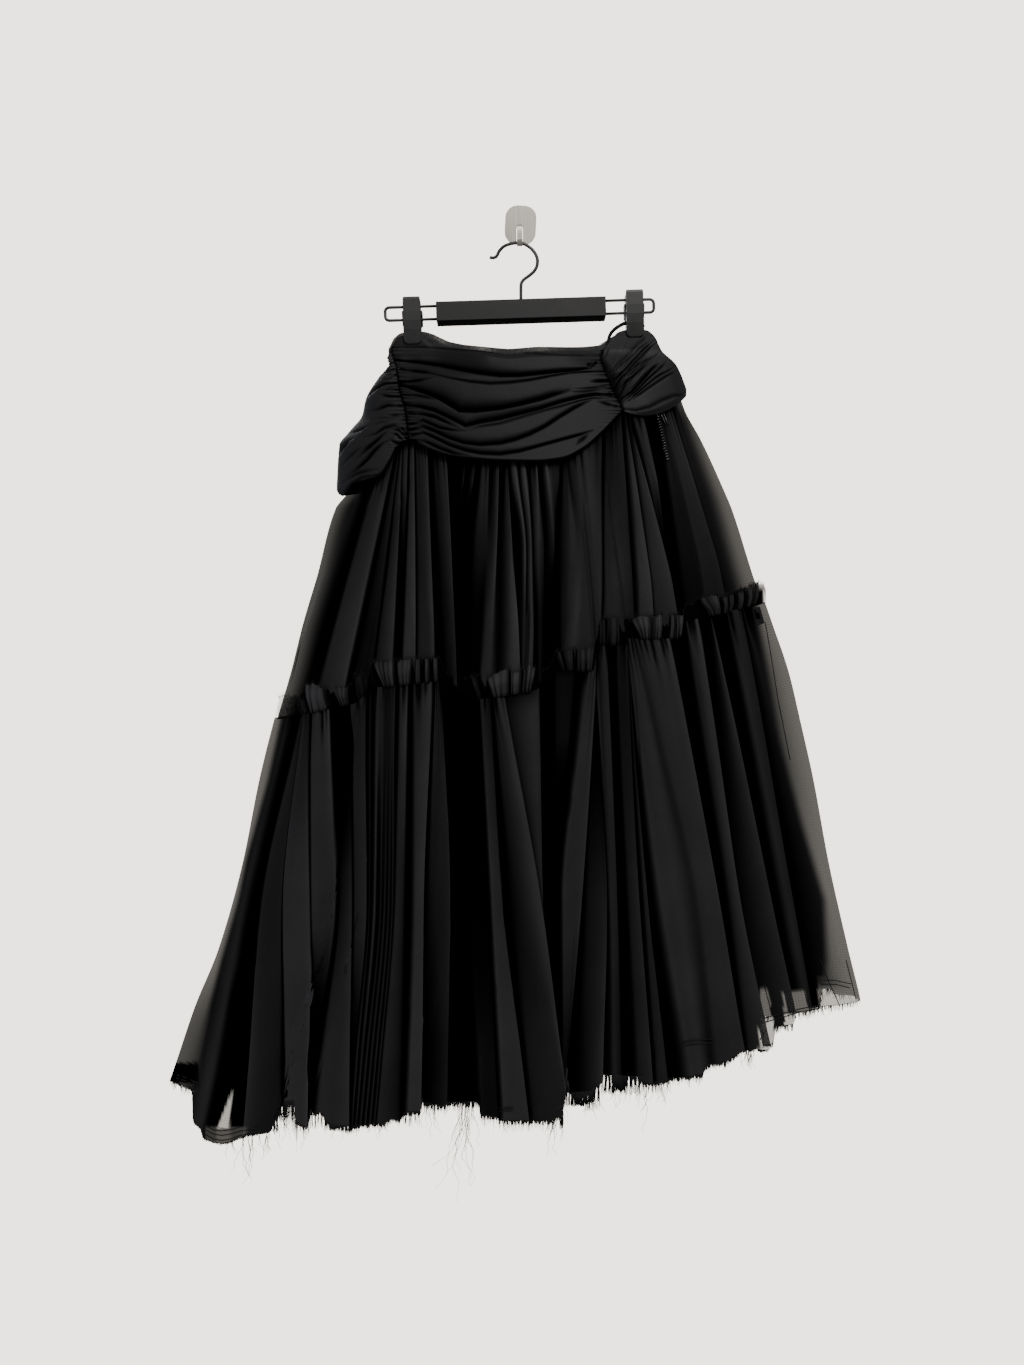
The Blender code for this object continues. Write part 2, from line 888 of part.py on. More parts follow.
def build_headers():
    """The frayed header above the stitching, outside the upper tier."""
    outer = []
    for down in (0.0, 0.45, 1.0):
        line = []
        for share, level in header_columns():
            foot = stitch_height(share) + GAP / 2
            height = foot + header_height(share) * (1 - down)
            stand = LOWER_OUT + 5.0 * (1 - down) + 4.5 * level * (1 - 0.75 * down)
            push = stand + swell(share)
            line.append(at_front(share, height, push, LOWER_SEAM_DEPTH))
        outer.append(line)
    wall("header_ruffle_front", outer, TIER_WALL, 1, SIDEWAYS)
    outer = []
    columns = [(k / (2 * HEADER_BACK_WAVES), float(k % 2)) for k in range(2 * HEADER_BACK_WAVES + 1)]
    for down in (0.0, 1.0):
        line = []
        for share, level in columns:
            height = stitch_height_back(share) + GAP / 2 + SIDE_HEADER * (1 - down)
            left = read(FORM, "height", height, "left") - LOWER_OUT
            right = read(FORM, "height", height, "right") + LOWER_OUT
            depth = LOWER_BACK_DEPTH - 2.4 * level * (1 - 0.8 * down)
            line.append(place(mix(left, right, share), height, depth))
        outer.append(line)
    wall("header_ruffle_back", outer, TIER_WALL, -1, FORWARD)


def band_rows(creases):
    """Rows down a ruched panel: a row in each crease and two over the band between."""
    rows = []
    count = len(creases["puff"])
    for k in range(count - 1):
        rows += [(k, 0.0, 0.0), (k, 0.32, creases["puff"][k]), (k, 0.7, creases["puff"][k])]
    rows.append((count - 2, 1.0, 0.0))
    return rows


def pinch(x, height, depth):
    """Brings the front cloth back to the clips' grip."""
    return mix(depth, min(depth, CLIP_DEPTH), grip(x, height))


def grip(x, height):
    """How firmly the clips hold the cloth at a place, from 0 to 1."""
    held = 0.0
    for clip_x, clip_foot in CLIP_FEET:
        beside = ease((46 - abs(x - clip_x)) / 22)
        below = ease((height - clip_foot + 42) / 28)
        held = max(held, beside * below)
    return held


def yoke_place(x, height, lift):
    share = share_at(YOKE_FORM, x, height)
    seen_x, depth = push_out(YOKE_FORM, share, height, YOKE_SEAM_DEPTH, lift)
    return place(seen_x, height, pinch(seen_x, height, depth))


def seam_pull(across):
    """How full the folds are between two shirred seams."""
    return max(math.sin(math.pi * min(max(across, 0.0), 1.0)), 0.0) ** 0.5


def lift_at_sides(x, height):
    """The yoke stands off the tiers' form except at its side seams."""
    share = share_at(YOKE_FORM, x, height)
    return YOKE_LIFT * min(1.0, min(share, 1 - share) / 0.04)


def build_yoke_centre():
    outer = []
    for k, part, puff in band_rows(CENTRE_CREASES):
        line = []
        for across in np.linspace(0, 1, CENTRE_COLUMNS):
            down = []
            for crease in (k, k + 1):
                left = CENTRE_CREASES["left"][crease]
                middle = CENTRE_CREASES["middle"][crease]
                right = CENTRE_CREASES["right"][crease]
                ends = mix(left, right, across)
                sag = middle - (left + right) / 2
                down.append((ends + sag * 4 * across * (1 - across)) / 100)
            v = mix(down[0], down[1], part)
            height = -200.0
            for _ in range(8):
                left_x = read(SEAMS, "height", height, "left")
                right_x = read(SEAMS, "height", height, "right")
                x = mix(left_x, right_x, across)
                top = read(WAIST_FRONT, "across", x, "height")
                foot = read(YOKE_FOOT_FRONT, "across", x, "height")
                height = mix(top, foot, v)
            lift = lift_at_sides(x, height) + puff * seam_pull(across)
            line.append(yoke_place(x, height, lift))
        outer.append(line)
    return wall("yoke_front_centre", outer, YOKE_WALL, 1, (BACKWARD, BACKWARD), YOKE_SEAM_DEPTH)[0]


def meet(edge, seam, apart):
    """Lays a panel's edge beside its neighbour's seam edge, at the same depths."""
    order = np.argsort(seam[:, 2])
    edge[:, 0] = np.interp(edge[:, 2], seam[order, 2], seam[order, 0]) + apart * MM
    edge[:, 1] = np.interp(edge[:, 2], seam[order, 2], seam[order, 1])


def build_yoke_left(centre):
    outer = []
    for k, part, puff in band_rows(LEFT_CREASES):
        v = mix(LEFT_CREASES["down"][k], LEFT_CREASES["down"][k + 1], part) / 100
        line = []
        for across in np.linspace(0, 1, SIDE_PANEL_COLUMNS):
            height = -220.0
            for _ in range(12):
                left_x = read(YOKE_FORM, "height", height, "left")
                right_x = read(SEAMS, "height", height, "left") - SEAM_ALLOWANCE
                x = mix(left_x, right_x, across)
                foot = read(YOKE_FOOT_FRONT, "across", x, "height")
                height = mix(height, mix(-147.0, foot, v), 0.7)
            lift = lift_at_sides(x, height) + puff * seam_pull(mix(0.12, 1.0, across))
            line.append(yoke_place(x, height, lift))
        outer.append(line)
    outer = np.array(outer)
    meet(outer[:, -1], centre[:, 0], -SEAM_ALLOWANCE)
    wall("yoke_front_left", outer, YOKE_WALL, 1, (SIDEWAYS[0], BACKWARD), YOKE_SEAM_DEPTH)


def build_yoke_right(centre):
    outer = []
    for k, part, puff in band_rows(FAN):
        row = {c: mix(FAN[c][k], FAN[c][k + 1], part) for c in ("start", "x", "height", "bow")}
        foot_width = FAN["start"][k] - FAN["start"][k + 1]
        top_width = math.hypot(FAN["x"][k + 1] - FAN["x"][k], FAN["height"][k + 1] - FAN["height"][k])
        start_x = read(SEAMS, "height", row["start"], "right") + SEAM_ALLOWANCE
        line = []
        for across in np.linspace(0, 1, SIDE_PANEL_COLUMNS):
            x = mix(start_x, row["x"], across)
            height = mix(row["start"], row["height"], across)
            height += row["bow"] * 4 * across * (1 - across)
            fullness = ease(across * 2.4) * mix(1.0, 0.45, ease(across * 1.6 - 0.6))
            room = FOLD_STEEPNESS * mix(foot_width, top_width, across)
            lift = lift_at_sides(x, height) + min(puff * fullness, room)
            line.append(yoke_place(x, height, lift))
        outer.append(line)
    outer = np.array(outer)
    meet(outer[:, 0], centre[:, -1], SEAM_ALLOWANCE)
    wall("yoke_front_right", outer, YOKE_WALL, 1, (BACKWARD, None), YOKE_SEAM_DEPTH)


def build_yoke_back():
    outer = []
    for k, part, puff in band_rows(BACK_CREASES):
        line = []
        for across in np.linspace(0, 1, BACK_COLUMNS):
            down = []
            for crease in (k, k + 1):
                left = BACK_CREASES["left"][crease]
                middle = BACK_CREASES["middle"][crease]
                right = BACK_CREASES["right"][crease]
                sag = middle - (left + right) / 2
                down.append((mix(left, right, across) + sag * 4 * across * (1 - across)) / 100)
            v = mix(down[0], down[1], part)
            height = -200.0
            for _ in range(14):
                left_x = read(YOKE_FORM, "height", height, "left")
                right_x = read(YOKE_FORM, "height", height, "right")
                x = mix(left_x, right_x, across)
                top = read(WAIST_BACK, "across", x, "height")
                foot = read(YOKE_FOOT_BACK, "across", x, "height")
                height = mix(height, mix(top, foot, v), 0.6)
            depth = YOKE_BACK_DEPTH - puff * seam_pull(across) * (1 - grip(x, height))
            line.append(place(x, height, depth))
        outer.append(line)
    outer = np.array(outer)
    wall("yoke_back", outer, YOKE_WALL, -1, FORWARD)
    return outer


def build_facing(yoke_back):
    """A narrow strip inside the back of the waist, made from the back yoke's points."""
    rows = [mix(yoke_back[0], yoke_back[1], 0.12), yoke_back[1], mix(yoke_back[1], yoke_back[2], 0.6)]
    outer = np.array(rows)
    outer[:, :, 1] -= (YOKE_WALL + GAP) * MM
    inset = slice(1, -1)
    wall("waist_facing", outer[:, inset], FACING_WALL, -1)


def along(values, places, at):
    """The value at a place between the listed ones; values may be rows of points."""
    k = min(max(int(np.searchsorted(places, at, side="right")) - 1, 0), len(places) - 2)
    return mix(values[k], values[k + 1], (at - places[k]) / (places[k + 1] - places[k]))


def patch(name, tier, columns, tier_downs, downs, shares):
    """A narrow strip on a tier, made from the tier's own points and moved out."""
    places = [share for share, _ in columns]
    inside = [s for s in places if shares[0] + 0.002 < s < shares[1] - 0.002]
    outer = []
    for down in downs:
        row = along(tier, tier_downs, down)
        outer.append([along(row, places, share) for share in [shares[0]] + inside + [shares[1]]])
    moved = inner_points(np.array(outer), PATCH_OUT + PATCH_WALL, -1, (None, None))
    wall(name, moved, PATCH_WALL, 1)


def fringe(name, outer, inner, threads):
    """A narrow strip under a hem, and loose threads whose roots are part of its underside.

    threads gives the length and lean of the thread on each stretch of the hem that has one.
    """
    points = []
    for front, back in zip(outer, inner):
        for drop in (GAP, GAP + STRIP_HEIGHT):
            points += [front - (0, 0, drop * MM), back - (0, 0, drop * MM)]
    faces = [(0, 2, 3, 1)]
    for k in range(len(outer) - 1):
        a, b = 4 * k, 4 * k + 4
        faces += [(a, b, b + 2, a + 2), (a + 1, a + 3, b + 3, b + 1), (a, a + 1, b), (a + 1, b + 1, b)]
        under = (a + 2, b + 2, b + 3, a + 3)
        if k not in threads:
            faces.append(under)
            continue
        length, lean = threads[k]
        run = np.linalg.norm(outer[k + 1] - outer[k]) / MM
        half = min(0.5 * THREAD_ROOT / run, 0.3)
        root = len(points)
        for x, y in ((-half, -0.35), (half, -0.35), (half, 0.35), (-half, 0.35)):
            front = mix(points[under[0]], points[under[1]], 0.5 + x)
            back = mix(points[under[3]], points[under[2]], 0.5 + x)
            points.append(mix(front, back, 0.5 + y))
        tip = sum(points[root : root + 4]) / 4
        points.append(tip + np.array((lean, 0, -length)) * MM)
        for c in range(4):
            d = (c + 1) % 4
            faces += [(under[c], under[d], root + d, root + c), (root + c, root + d, root + 4)]
    last = 4 * (len(outer) - 1)
    faces.append((last, last + 1, last + 3, last + 2))
    mesh_object(name, points, faces, BLACK_CLOTH, 0.9)


def build_fringes(front, back):
    outer, inner = front[0][-1], front[1][-1]
    short = range(2, len(outer), 3)
    threads = {k: (5.0 + 3.0 * math.sin(1.9 * k), math.sin(2.3 * k)) for k in short}
    for x, length, lean in zip(*(LOOSE_THREADS[c] for c in ("x", "length", "lean"))):
        seen = (outer[:, 0] / MM - EYE_X) / (1 + outer[:, 1] / MM / EYE_DISTANCE) + EYE_X
        nearest = int(np.argmin(np.abs(seen - x)))
        threads[nearest] = (length, lean)
    fringe("hem_fringe_front", outer, inner, threads)
    outer, inner = back[0][-1], back[1][-1]
    threads = {k: (6.0 + 3.0 * math.sin(1.9 * k), 0.0) for k in range(1, len(outer) - 2, 3)}
    fringe("hem_fringe_back", outer, inner, threads)


def sweep_strip(points, width, thickness):
    """Points and faces of a flat strip that follows a path and faces the room."""
    path = np.array(points, float)
    ways = unit(np.gradient(path, axis=0))
    across = unit(np.cross(ways, (0.0, 1.0, 0.0)))
    facing = unit(np.cross(across, ways))
    corners = []
    for p, a, f in zip(path, across, facing):
        for side, front in ((-1, -1), (1, -1), (1, 1), (-1, 1)):
            corners.append(p + a * side * width / 2 + f * front * thickness / 2)
    faces = [(0, 1, 2, 3)]
    for k in range(len(path) - 1):
        for c in range(4):
            a, b = 4 * k + c, 4 * k + (c + 1) % 4
            faces.append((a, b, b + 4, a + 4))
    last = 4 * (len(path) - 1)
    faces.append((last + 3, last + 2, last + 1, last))
    return corners, faces


def rounded_path(rows, columns, spacing):
    """Points close together along a smooth curve through a table's rows."""
    knots = np.array([rows[c] for c in columns]).T
    steps = np.linalg.norm(np.diff(knots, axis=0), axis=1)
    along = np.concatenate(([0.0], np.cumsum(steps)))
    count = max(2, int(round(along[-1] / spacing)))
    found = []
    for k in range(count + 1):
        at = along[-1] * k / count
        i = min(int(np.searchsorted(along, at, side="right")) - 1, len(knots) - 2)
        u = (at - along[i]) / steps[i]
        before = knots[max(i - 1, 0)]
        after = knots[min(i + 2, len(knots) - 1)]
        a, b = knots[i], knots[i + 1]
        found.append(
            0.5
            * (
                2 * a
                + (b - before) * u
                + (2 * before - 5 * a + 4 * b - after) * u**2
                + (3 * a - before - 3 * b + after) * u**3
            )
        )
    return np.array(found)


def build_ribbon():
    path = rounded_path(RIBBON, ("x", "height", "depth"), 5.0)
    points, faces = sweep_strip([np.array(place(*p)) / MM for p in path], 3.4, 0.8)
    mesh_object("ribbon_loop", [p * MM for p in points], faces, BLACK_CLOTH, 0.5)


def box_of(name, low, high, parent=None):
    """A box mesh between two corners, for cutting with."""
    corners = [(x, y, z) for x in (low[0], high[0]) for y in (low[1], high[1]) for z in (low[2], high[2])]
    faces = [(0, 1, 3, 2), (4, 6, 7, 5), (0, 4, 5, 1), (2, 3, 7, 6), (0, 2, 6, 4), (1, 5, 7, 3)]
    return mesh_object(name, np.array(corners) * MM, faces, STEEL, 0.4, parent=parent)


def combine(target, tool, operation):
    """Cuts or joins with a tool that isn't part of the object."""
    tool.hide_render = True
    tool.display_type = "WIRE"
    step = target.modifiers.new(tool.name, "BOOLEAN")
    step.operation = operation
    step.solver = "EXACT"
    step.object = tool


def build_wall_hook():
    outline = []
    reach_x = PLATE_WIDTH / 2 - PLATE_CORNER
    reach_z = PLATE_HEIGHT / 2 - PLATE_CORNER
    for corner, (sx, sz) in enumerate(((1, 1), (-1, 1), (-1, -1), (1, -1))):
        for step in range(7):
            turn = math.radians(90 * corner + 15 * step)
            x = sx * reach_x + PLATE_CORNER * math.cos(turn)
            z = sz * reach_z + PLATE_CORNER * math.sin(turn)
            lean = math.radians(-PLATE_LEAN)
            outline.append(
                (x * math.cos(lean) - z * math.sin(lean), x * math.sin(lean) + z * math.cos(lean))
            )
    count = len(outline)
    points = [(x, 0, z) for x, z in outline] + [(x, -PLATE_THICKNESS, z) for x, z in outline]
    faces = [tuple(range(count)), tuple(range(2 * count - 1, count - 1, -1))]
    faces += [(k, (k + 1) % count, (k + 1) % count + count, k + count) for k in range(count)]
    plate = mesh_object("wall_hook", np.array(points) * MM, faces, STEEL, 0.35, 1.0, angle=30)
    half = TONGUE_WIDTH / 2 + 0.6
    slot = box_of("slot_cutter", (-half - 1, -5, -SLOT_FOOT), (half - 1, 5, -SLOT_TOP))
    combine(plate, slot, "DIFFERENCE")
    path = rounded_path(TONGUE, ("depth", "height"), 2.4)
    middle = [(-1.0, -depth, height) for depth, height in path]
    ways = unit(np.gradient(np.array(middle), axis=0))
    corners = []
    for p, way in zip(np.array(middle), ways):
        out = np.cross((1.0, 0.0, 0.0), way)
        for side, face in ((-1, -1), (1, -1), (1, 1), (-1, 1)):
            corner = p + np.array((side * TONGUE_WIDTH / 2, 0, 0)) + out * face * PLATE_THICKNESS / 2
            corners.append(corner * MM)
    faces = [(0, 1, 2, 3)]
    for k in range(len(middle) - 1):
        for c in range(4):
            a, b = 4 * k + c, 4 * k + (c + 1) % 4
            faces.append((a, b, b + 4, a + 4))
    last = 4 * (len(middle) - 1)
    faces.append((last + 3, last + 2, last + 1, last))
    tongue = mesh_object("tongue_tool", corners, faces, STEEL, 0.35, 1.0)
    combine(plate, tongue, "UNION")


def wire(name, points, radius, parent=None):
    curve = bpy.data.curves.new(name, "CURVE")
    curve.dimensions = "3D"
    curve.bevel_depth = radius * MM
    curve.bevel_resolution = 2
    curve.use_fill_caps = True
    line = curve.splines.new("POLY")
    line.points.add(len(points) - 1)
    for point, (x, y, z) in zip(line.points, points):
        point.co = (x * MM, y * MM, z * MM, 1.0)
    return new_object(name, curve, BLACK_WIRE, 0.4, 0.6, parent)


def build_hanger():
    frame = bpy.data.objects.new("hanger_frame", None)
    bpy.context.scene.collection.objects.link(frame)
    frame.rotation_euler = (0.0, -math.radians(HANGER_LEAN), 0.0)
    hook = rounded_path(HOOK, ("x", "height"), 3.4)
    wire("hanger_hook", [(x, -HANGER_DEPTH, z) for x, z in hook], HOOK_WIRE / 2)

    half = BAR_WIDTH / 2
    near, far = HANGER_DEPTH + BAR_SIDE / 2, HANGER_DEPTH - BAR_SIDE / 2
    top, foot = BAR_Z + BAR_SIDE / 2, BAR_Z - BAR_SIDE / 2
    bar = box_of("hanger_bar", (BAR_X - half, -near, foot), (BAR_X + half, -far, top), frame)
    bar.data.materials[0] = material("bar_black", BLACK_PLASTIC, 0.55)
    inside = BAR_WALL
    pocket = box_of(
        "bar_pocket",
        (BAR_X - half + inside, -near + inside, foot - 5),
        (BAR_X + half - inside, -far - inside, top - inside),
        frame,
    )
    combine(bar, pocket, "DIFFERENCE")
    bpy.ops.mesh.primitive_cylinder_add(vertices=16, radius=(HOOK_WIRE / 2 + 0.35) * MM, depth=8 * MM)
    hole = bpy.context.active_object
    hole.name = "stem_hole"
    hole.location = (STEM_X * MM, -HANGER_DEPTH * MM, top * MM)
    combine(bar, hole, "DIFFERENCE")

    for side, end, name in ((-1, LOOP_LEFT, "left"), (1, LOOP_RIGHT, "right")):
        start = BAR_X + side * (half + GAP)
        turn_x = end - side * (LOOP_CORNER + WIRE / 2)
        path = [(start, LOOP_Z + LOOP_HALF)]
        for step in range(7):
            angle = math.radians(90 - 15 * step)
            path.append(
                (
                    turn_x + side * LOOP_CORNER * math.cos(angle),
                    LOOP_Z + LOOP_HALF - LOOP_CORNER + LOOP_CORNER * math.sin(angle),
                )
            )
        path += [(x, 2 * LOOP_Z - z) for x, z in reversed(path)]
        wire(f"wire_loop_{name}", [(x, -HANGER_DEPTH, z) for x, z in path], WIRE / 2, frame)
        build_clip(name, side * CLIP_X + CLIP_SHIFT, frame)


def build_clip(name, middle, frame):
    for which, rows in (("front", FRONT_JAW), ("back", BACK_JAW)):
        points = []
        for drop, half, face, back in zip(*(rows[c] for c in ("drop", "half", "face", "back"))):
            z = CLIP_TOP - drop
            points += [
                (middle - half, -face, z),
                (middle + half, -face, z),
                (middle + half, -back, z),
                (middle - half, -back, z),
            ]
        faces = [(0, 1, 2, 3)]
        for k in range(len(rows["drop"]) - 1):
            for c in range(4):
                a, b = 4 * k + c, 4 * k + (c + 1) % 4
                faces.append((a, b, b + 4, a + 4))
        last = 4 * (len(rows["drop"]) - 1)
        faces.append((last + 3, last + 2, last + 1, last))
        mesh_object(
            f"clip_{name}_{which}", np.array(points) * MM, faces, BLACK_PLASTIC, 0.5, parent=frame, angle=30
        )


for old in list(bpy.data.objects):
    bpy.data.objects.remove(old)

build_upper_tier()
lower_front, lower_back = build_lower_tier()
build_headers()
centre = build_yoke_centre()
build_yoke_left(centre)
build_yoke_right(centre)
build_facing(build_yoke_back())
build_fringes(lower_front, lower_back)
build_ribbon()
build_wall_hook()
build_hanger()
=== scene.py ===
"""The finish of a black midi skirt on a clip hanger: cloth, threads, hardware, light and camera.

Heights and x are in millimetres as seen on the wall plane, and place() brings a point that stands
nearer the eye in along its line of sight. Tables in picture columns and rows say so, and seen_x()
and seen_height() turn those into millimetres. Depths are in millimetres off the wall.
"""

import math

import bmesh
import bpy
import numpy as np
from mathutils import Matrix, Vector

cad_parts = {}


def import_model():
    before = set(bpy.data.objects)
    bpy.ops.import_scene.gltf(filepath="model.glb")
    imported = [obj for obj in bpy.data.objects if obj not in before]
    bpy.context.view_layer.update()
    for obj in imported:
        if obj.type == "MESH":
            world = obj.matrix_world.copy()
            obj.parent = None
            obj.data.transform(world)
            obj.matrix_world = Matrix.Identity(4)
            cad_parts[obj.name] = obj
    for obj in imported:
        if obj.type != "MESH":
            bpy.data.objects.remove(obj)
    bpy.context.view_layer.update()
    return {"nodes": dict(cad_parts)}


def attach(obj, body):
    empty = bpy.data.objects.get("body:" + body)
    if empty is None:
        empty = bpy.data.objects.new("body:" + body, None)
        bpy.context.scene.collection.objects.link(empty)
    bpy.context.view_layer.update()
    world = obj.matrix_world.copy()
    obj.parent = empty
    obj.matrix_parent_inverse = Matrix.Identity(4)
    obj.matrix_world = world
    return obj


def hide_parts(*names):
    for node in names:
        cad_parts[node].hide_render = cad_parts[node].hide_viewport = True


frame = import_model()

MM = 0.001  # in metres; the sizes below are in millimetres
PIXEL = 1.15  # millimetres on the wall for each picture column or row
PICTURE_COLUMN = 520.5  # the column and row of the origin
PICTURE_ROW = 225.5
EYE_X = -9.8
EYE_HEIGHT = -525.6
EYE_DISTANCE = 1179.0
TIER_WALL = 1.2
YOKE_WALL = 1.6
GAP = 0.3
UPPER_BACK_DEPTH = 7.4
LOWER_BACK_DEPTH = 5.6
YOKE_BACK_DEPTH = 5.3
YOKE_LIFT = 4.4
CLIP_DEPTH = 10.4
UPPER_SEAM_DEPTH = UPPER_BACK_DEPTH + TIER_WALL + GAP
LOWER_SEAM_DEPTH = LOWER_BACK_DEPTH + TIER_WALL + GAP
YOKE_SEAM_DEPTH = YOKE_BACK_DEPTH + YOKE_WALL + GAP
LOWER_OUT = TIER_WALL + 2.3
TUCK = 5.0
TIER_OVERLAP = 2.0
LEFT_PANEL_TOP = -147.0
CREASE_PULL = 0.75  # the share of a crease's depth that draws the cloth in
HEM_DEPTH = 150.0


def table(columns, *rows):
    """Named columns from rows of numbers."""
    return dict(zip(columns.split(), np.array(rows, float).T))


# The outline of the tiers, and then of the yoke: at each height the x of both sides and the
# front's depth.
FORM = table(
    "height left right front",
    (-120, -120, 120, 22), (-195, -160, 182, 40), (-215, -168, 190, 46), (-247, -181, 207.6, 54),
    (-302, -195, 232.9, 70), (-326, -213, 243, 76), (-403, -234, 267.5, 94), (-457, -250, 286, 104),
    (-513, -264, 305, 114), (-572, -281, 319, 122), (-637, -297, 333.5, 131), (-732, -316, 351, 141),
    (-832, -344, 373.5, 150), (-898, -371, 389, 155), (-960, -392, 398, 159), (-1060, -426, 410, 164),
)
YOKE_FORM = table(
    "height left right front",
    (-112, -134, 140, 15), (-121, -139, 149, 18), (-130, -147.5, 153.5, 22), (-144, -152, 160, 27),
    (-159, -149, 175.6, 32), (-174, -160, 183, 37), (-199, -175, 191.5, 43), (-220, -180, 197, 48),
    (-238, -195, 203, 53), (-252, -205.6, 208, 57), (-285, -208, 222, 66), (-303, -208.7, 230, 70),
    (-314, -203, 236, 73),
)
# The yoke's upper and lower edges, front and back.
WAIST_FRONT = table(
    "across height",
    (-160, -142), (-150, -141), (-140, -128), (-125, -125.5), (-113, -127.5), (-101, -137),
    (-80, -140.5), (-40, -144.5), (-13, -147.5), (19, -145), (62, -144.5), (92, -143.5), (100.6, -135),
    (106.8, -124.5), (121.3, -119), (143.2, -120), (152.4, -128), (160, -143),
)
WAIST_BACK = table(
    "across height",
    (-153, -145), (-147, -131), (-137, -123.5), (-113, -122), (-102, -124.5), (-84, -133), (-66, -137),
    (-40, -139.5), (-13, -142), (19, -139.5), (63, -140), (90, -138), (107, -127), (121, -121),
    (143, -122), (152.4, -130), (161, -144),
)
YOKE_FOOT_FRONT = table(
    "across height",
    (-209, -312), (-203, -311), (-189.5, -297), (-160, -287), (-149, -270), (-140.9, -254),
    (-128, -246), (-104.4, -257), (-83.8, -264), (-54.6, -268.5), (-25, -270.8), (18.7, -271.7),
    (47.7, -268.3), (71.6, -256.6), (92, -238.6), (112.7, -217), (118, -212), (136.3, -218),
    (153.5, -216.8), (177.2, -204), (192, -195),
)
YOKE_FOOT_BACK = table(
    "across height",
    (-209, -312), (-150, -303), (-60, -285), (40, -258), (120, -226), (192, -195),
)
# The two shirred seams of the yoke's front.
SEAMS = table(
    "height left right",
    (-135, -149.5, 95.5), (-153.5, -145.5, 92.5), (-164, -141.5, 96), (-189, -138, 106.3),
    (-215.6, -131, 117.5), (-246, -128, 118.5),
)
# The middle of each clip and the height of its lower edge.
CLIP_FEET = ((-124.8, -136.0), (132.7, -127.5))

# The yoke's creases in picture columns and rows, left to right: how deep each is in millimetres,
# how far it reaches up and how far down, then its points. The band above rolls under at a crease.
CENTRE_CREASES = (
    (8.5, 8.0, 1.1, (396, 360.5), (420, 363), (440, 366), (460, 370), (480, 373.5), (500, 376),
     (520, 376), (540, 374), (560, 372), (577, 370.5), (590, 368), (596, 363)),
    (3.6, 2.4, 0.9, (404, 371), (430, 373), (450, 378), (470, 382), (490, 384), (510, 383),
     (530, 380.5), (550, 376.5), (570, 373), (607, 371)),
    (6.0, 3.4, 1.6, (401, 369), (414, 371), (427, 372.5), (440, 374)),
    (5.0, 4.0, 1.6, (400, 382), (410, 382), (422, 380.5), (434, 377)),
    (9.0, 10.0, 1.2, (398, 385), (410, 388), (425, 393), (440, 399), (450, 405), (460, 411),
     (475, 411.5), (500, 409), (520, 405), (540, 400), (555, 395), (568, 391)),
    (2.4, 1.6, 0.9, (568, 391), (575, 392.5), (585, 392), (598, 390), (610, 390)),
    (3.6, 2.2, 1.2, (404, 395), (418, 396), (430, 398), (441, 400.5)),
    (7.5, 5.5, 1.1, (403, 405.5), (420, 407), (435, 411), (448, 417), (458, 422), (466, 426),
     (480, 422.5), (500, 419), (520, 414), (540, 409), (560, 402.5), (580, 397.5), (595, 395),
     (611, 396)),
    (2.4, 2.0, 0.8, (466, 431), (480, 427), (500, 424), (520, 418), (540, 412), (560, 407), (580, 401),
     (592, 398.5), (613, 399)),
    (5.4, 2.8, 1.2, (409, 413.5), (424, 414.5), (436, 417.5), (450, 424), (460, 429)),
    (5.4, 3.0, 1.0, (410, 424.5), (417, 423.5), (424, 421), (432, 424.5), (440, 428), (452, 430.5),
     (465, 431)),
    (6.5, 5.6, 1.1, (411, 430.5), (424, 427), (436, 432), (450, 438.5), (464, 443), (480, 445),
     (500, 443.5), (515, 440), (530, 434.5), (545, 427), (560, 417), (575, 408), (590, 400.5)),
    (6.0, 3.6, 1.0, (412, 436), (424, 433), (436, 438.5), (450, 445.5), (465, 450.5), (480, 453.5),
     (500, 454.5), (520, 451.5), (540, 446), (560, 440.5), (580, 435), (592, 431)),
    (5.0, 3.0, 1.0, (412, 441), (425, 441.5), (440, 448.5), (455, 454), (470, 456.5)),
    (4.6, 1.8, 1.3, (590, 382), (600, 381.5), (610, 381.5)),
    (2.6, 1.4, 0.9, (596, 387), (612, 388)),
    (3.8, 1.6, 1.0, (598, 402), (606, 404.5), (616, 406.5)),
    (2.4, 1.2, 0.8, (590, 396), (602, 395.5), (613, 397)),
    (5.0, 3.0, 2.6, (586, 367), (592, 362.5)),
    (3.0, 1.0, 0.9, (591, 361), (600, 361.5), (605, 366), (609, 375)),
    (2.4, 1.4, 0.8, (574, 389), (586, 389), (600, 387.5), (611, 389)),
    (3.4, 1.2, 0.9, (602, 397), (609, 393.5), (617, 398)),
    (3.2, 2.6, 1.0, (576, 445), (582, 440), (588, 435)),
    (3.0, 2.2, 1.4, (392, 347.5), (420, 347.5), (450, 349), (475, 350.5), (500, 353), (530, 353),
     (560, 354.5), (600, 356)),
)
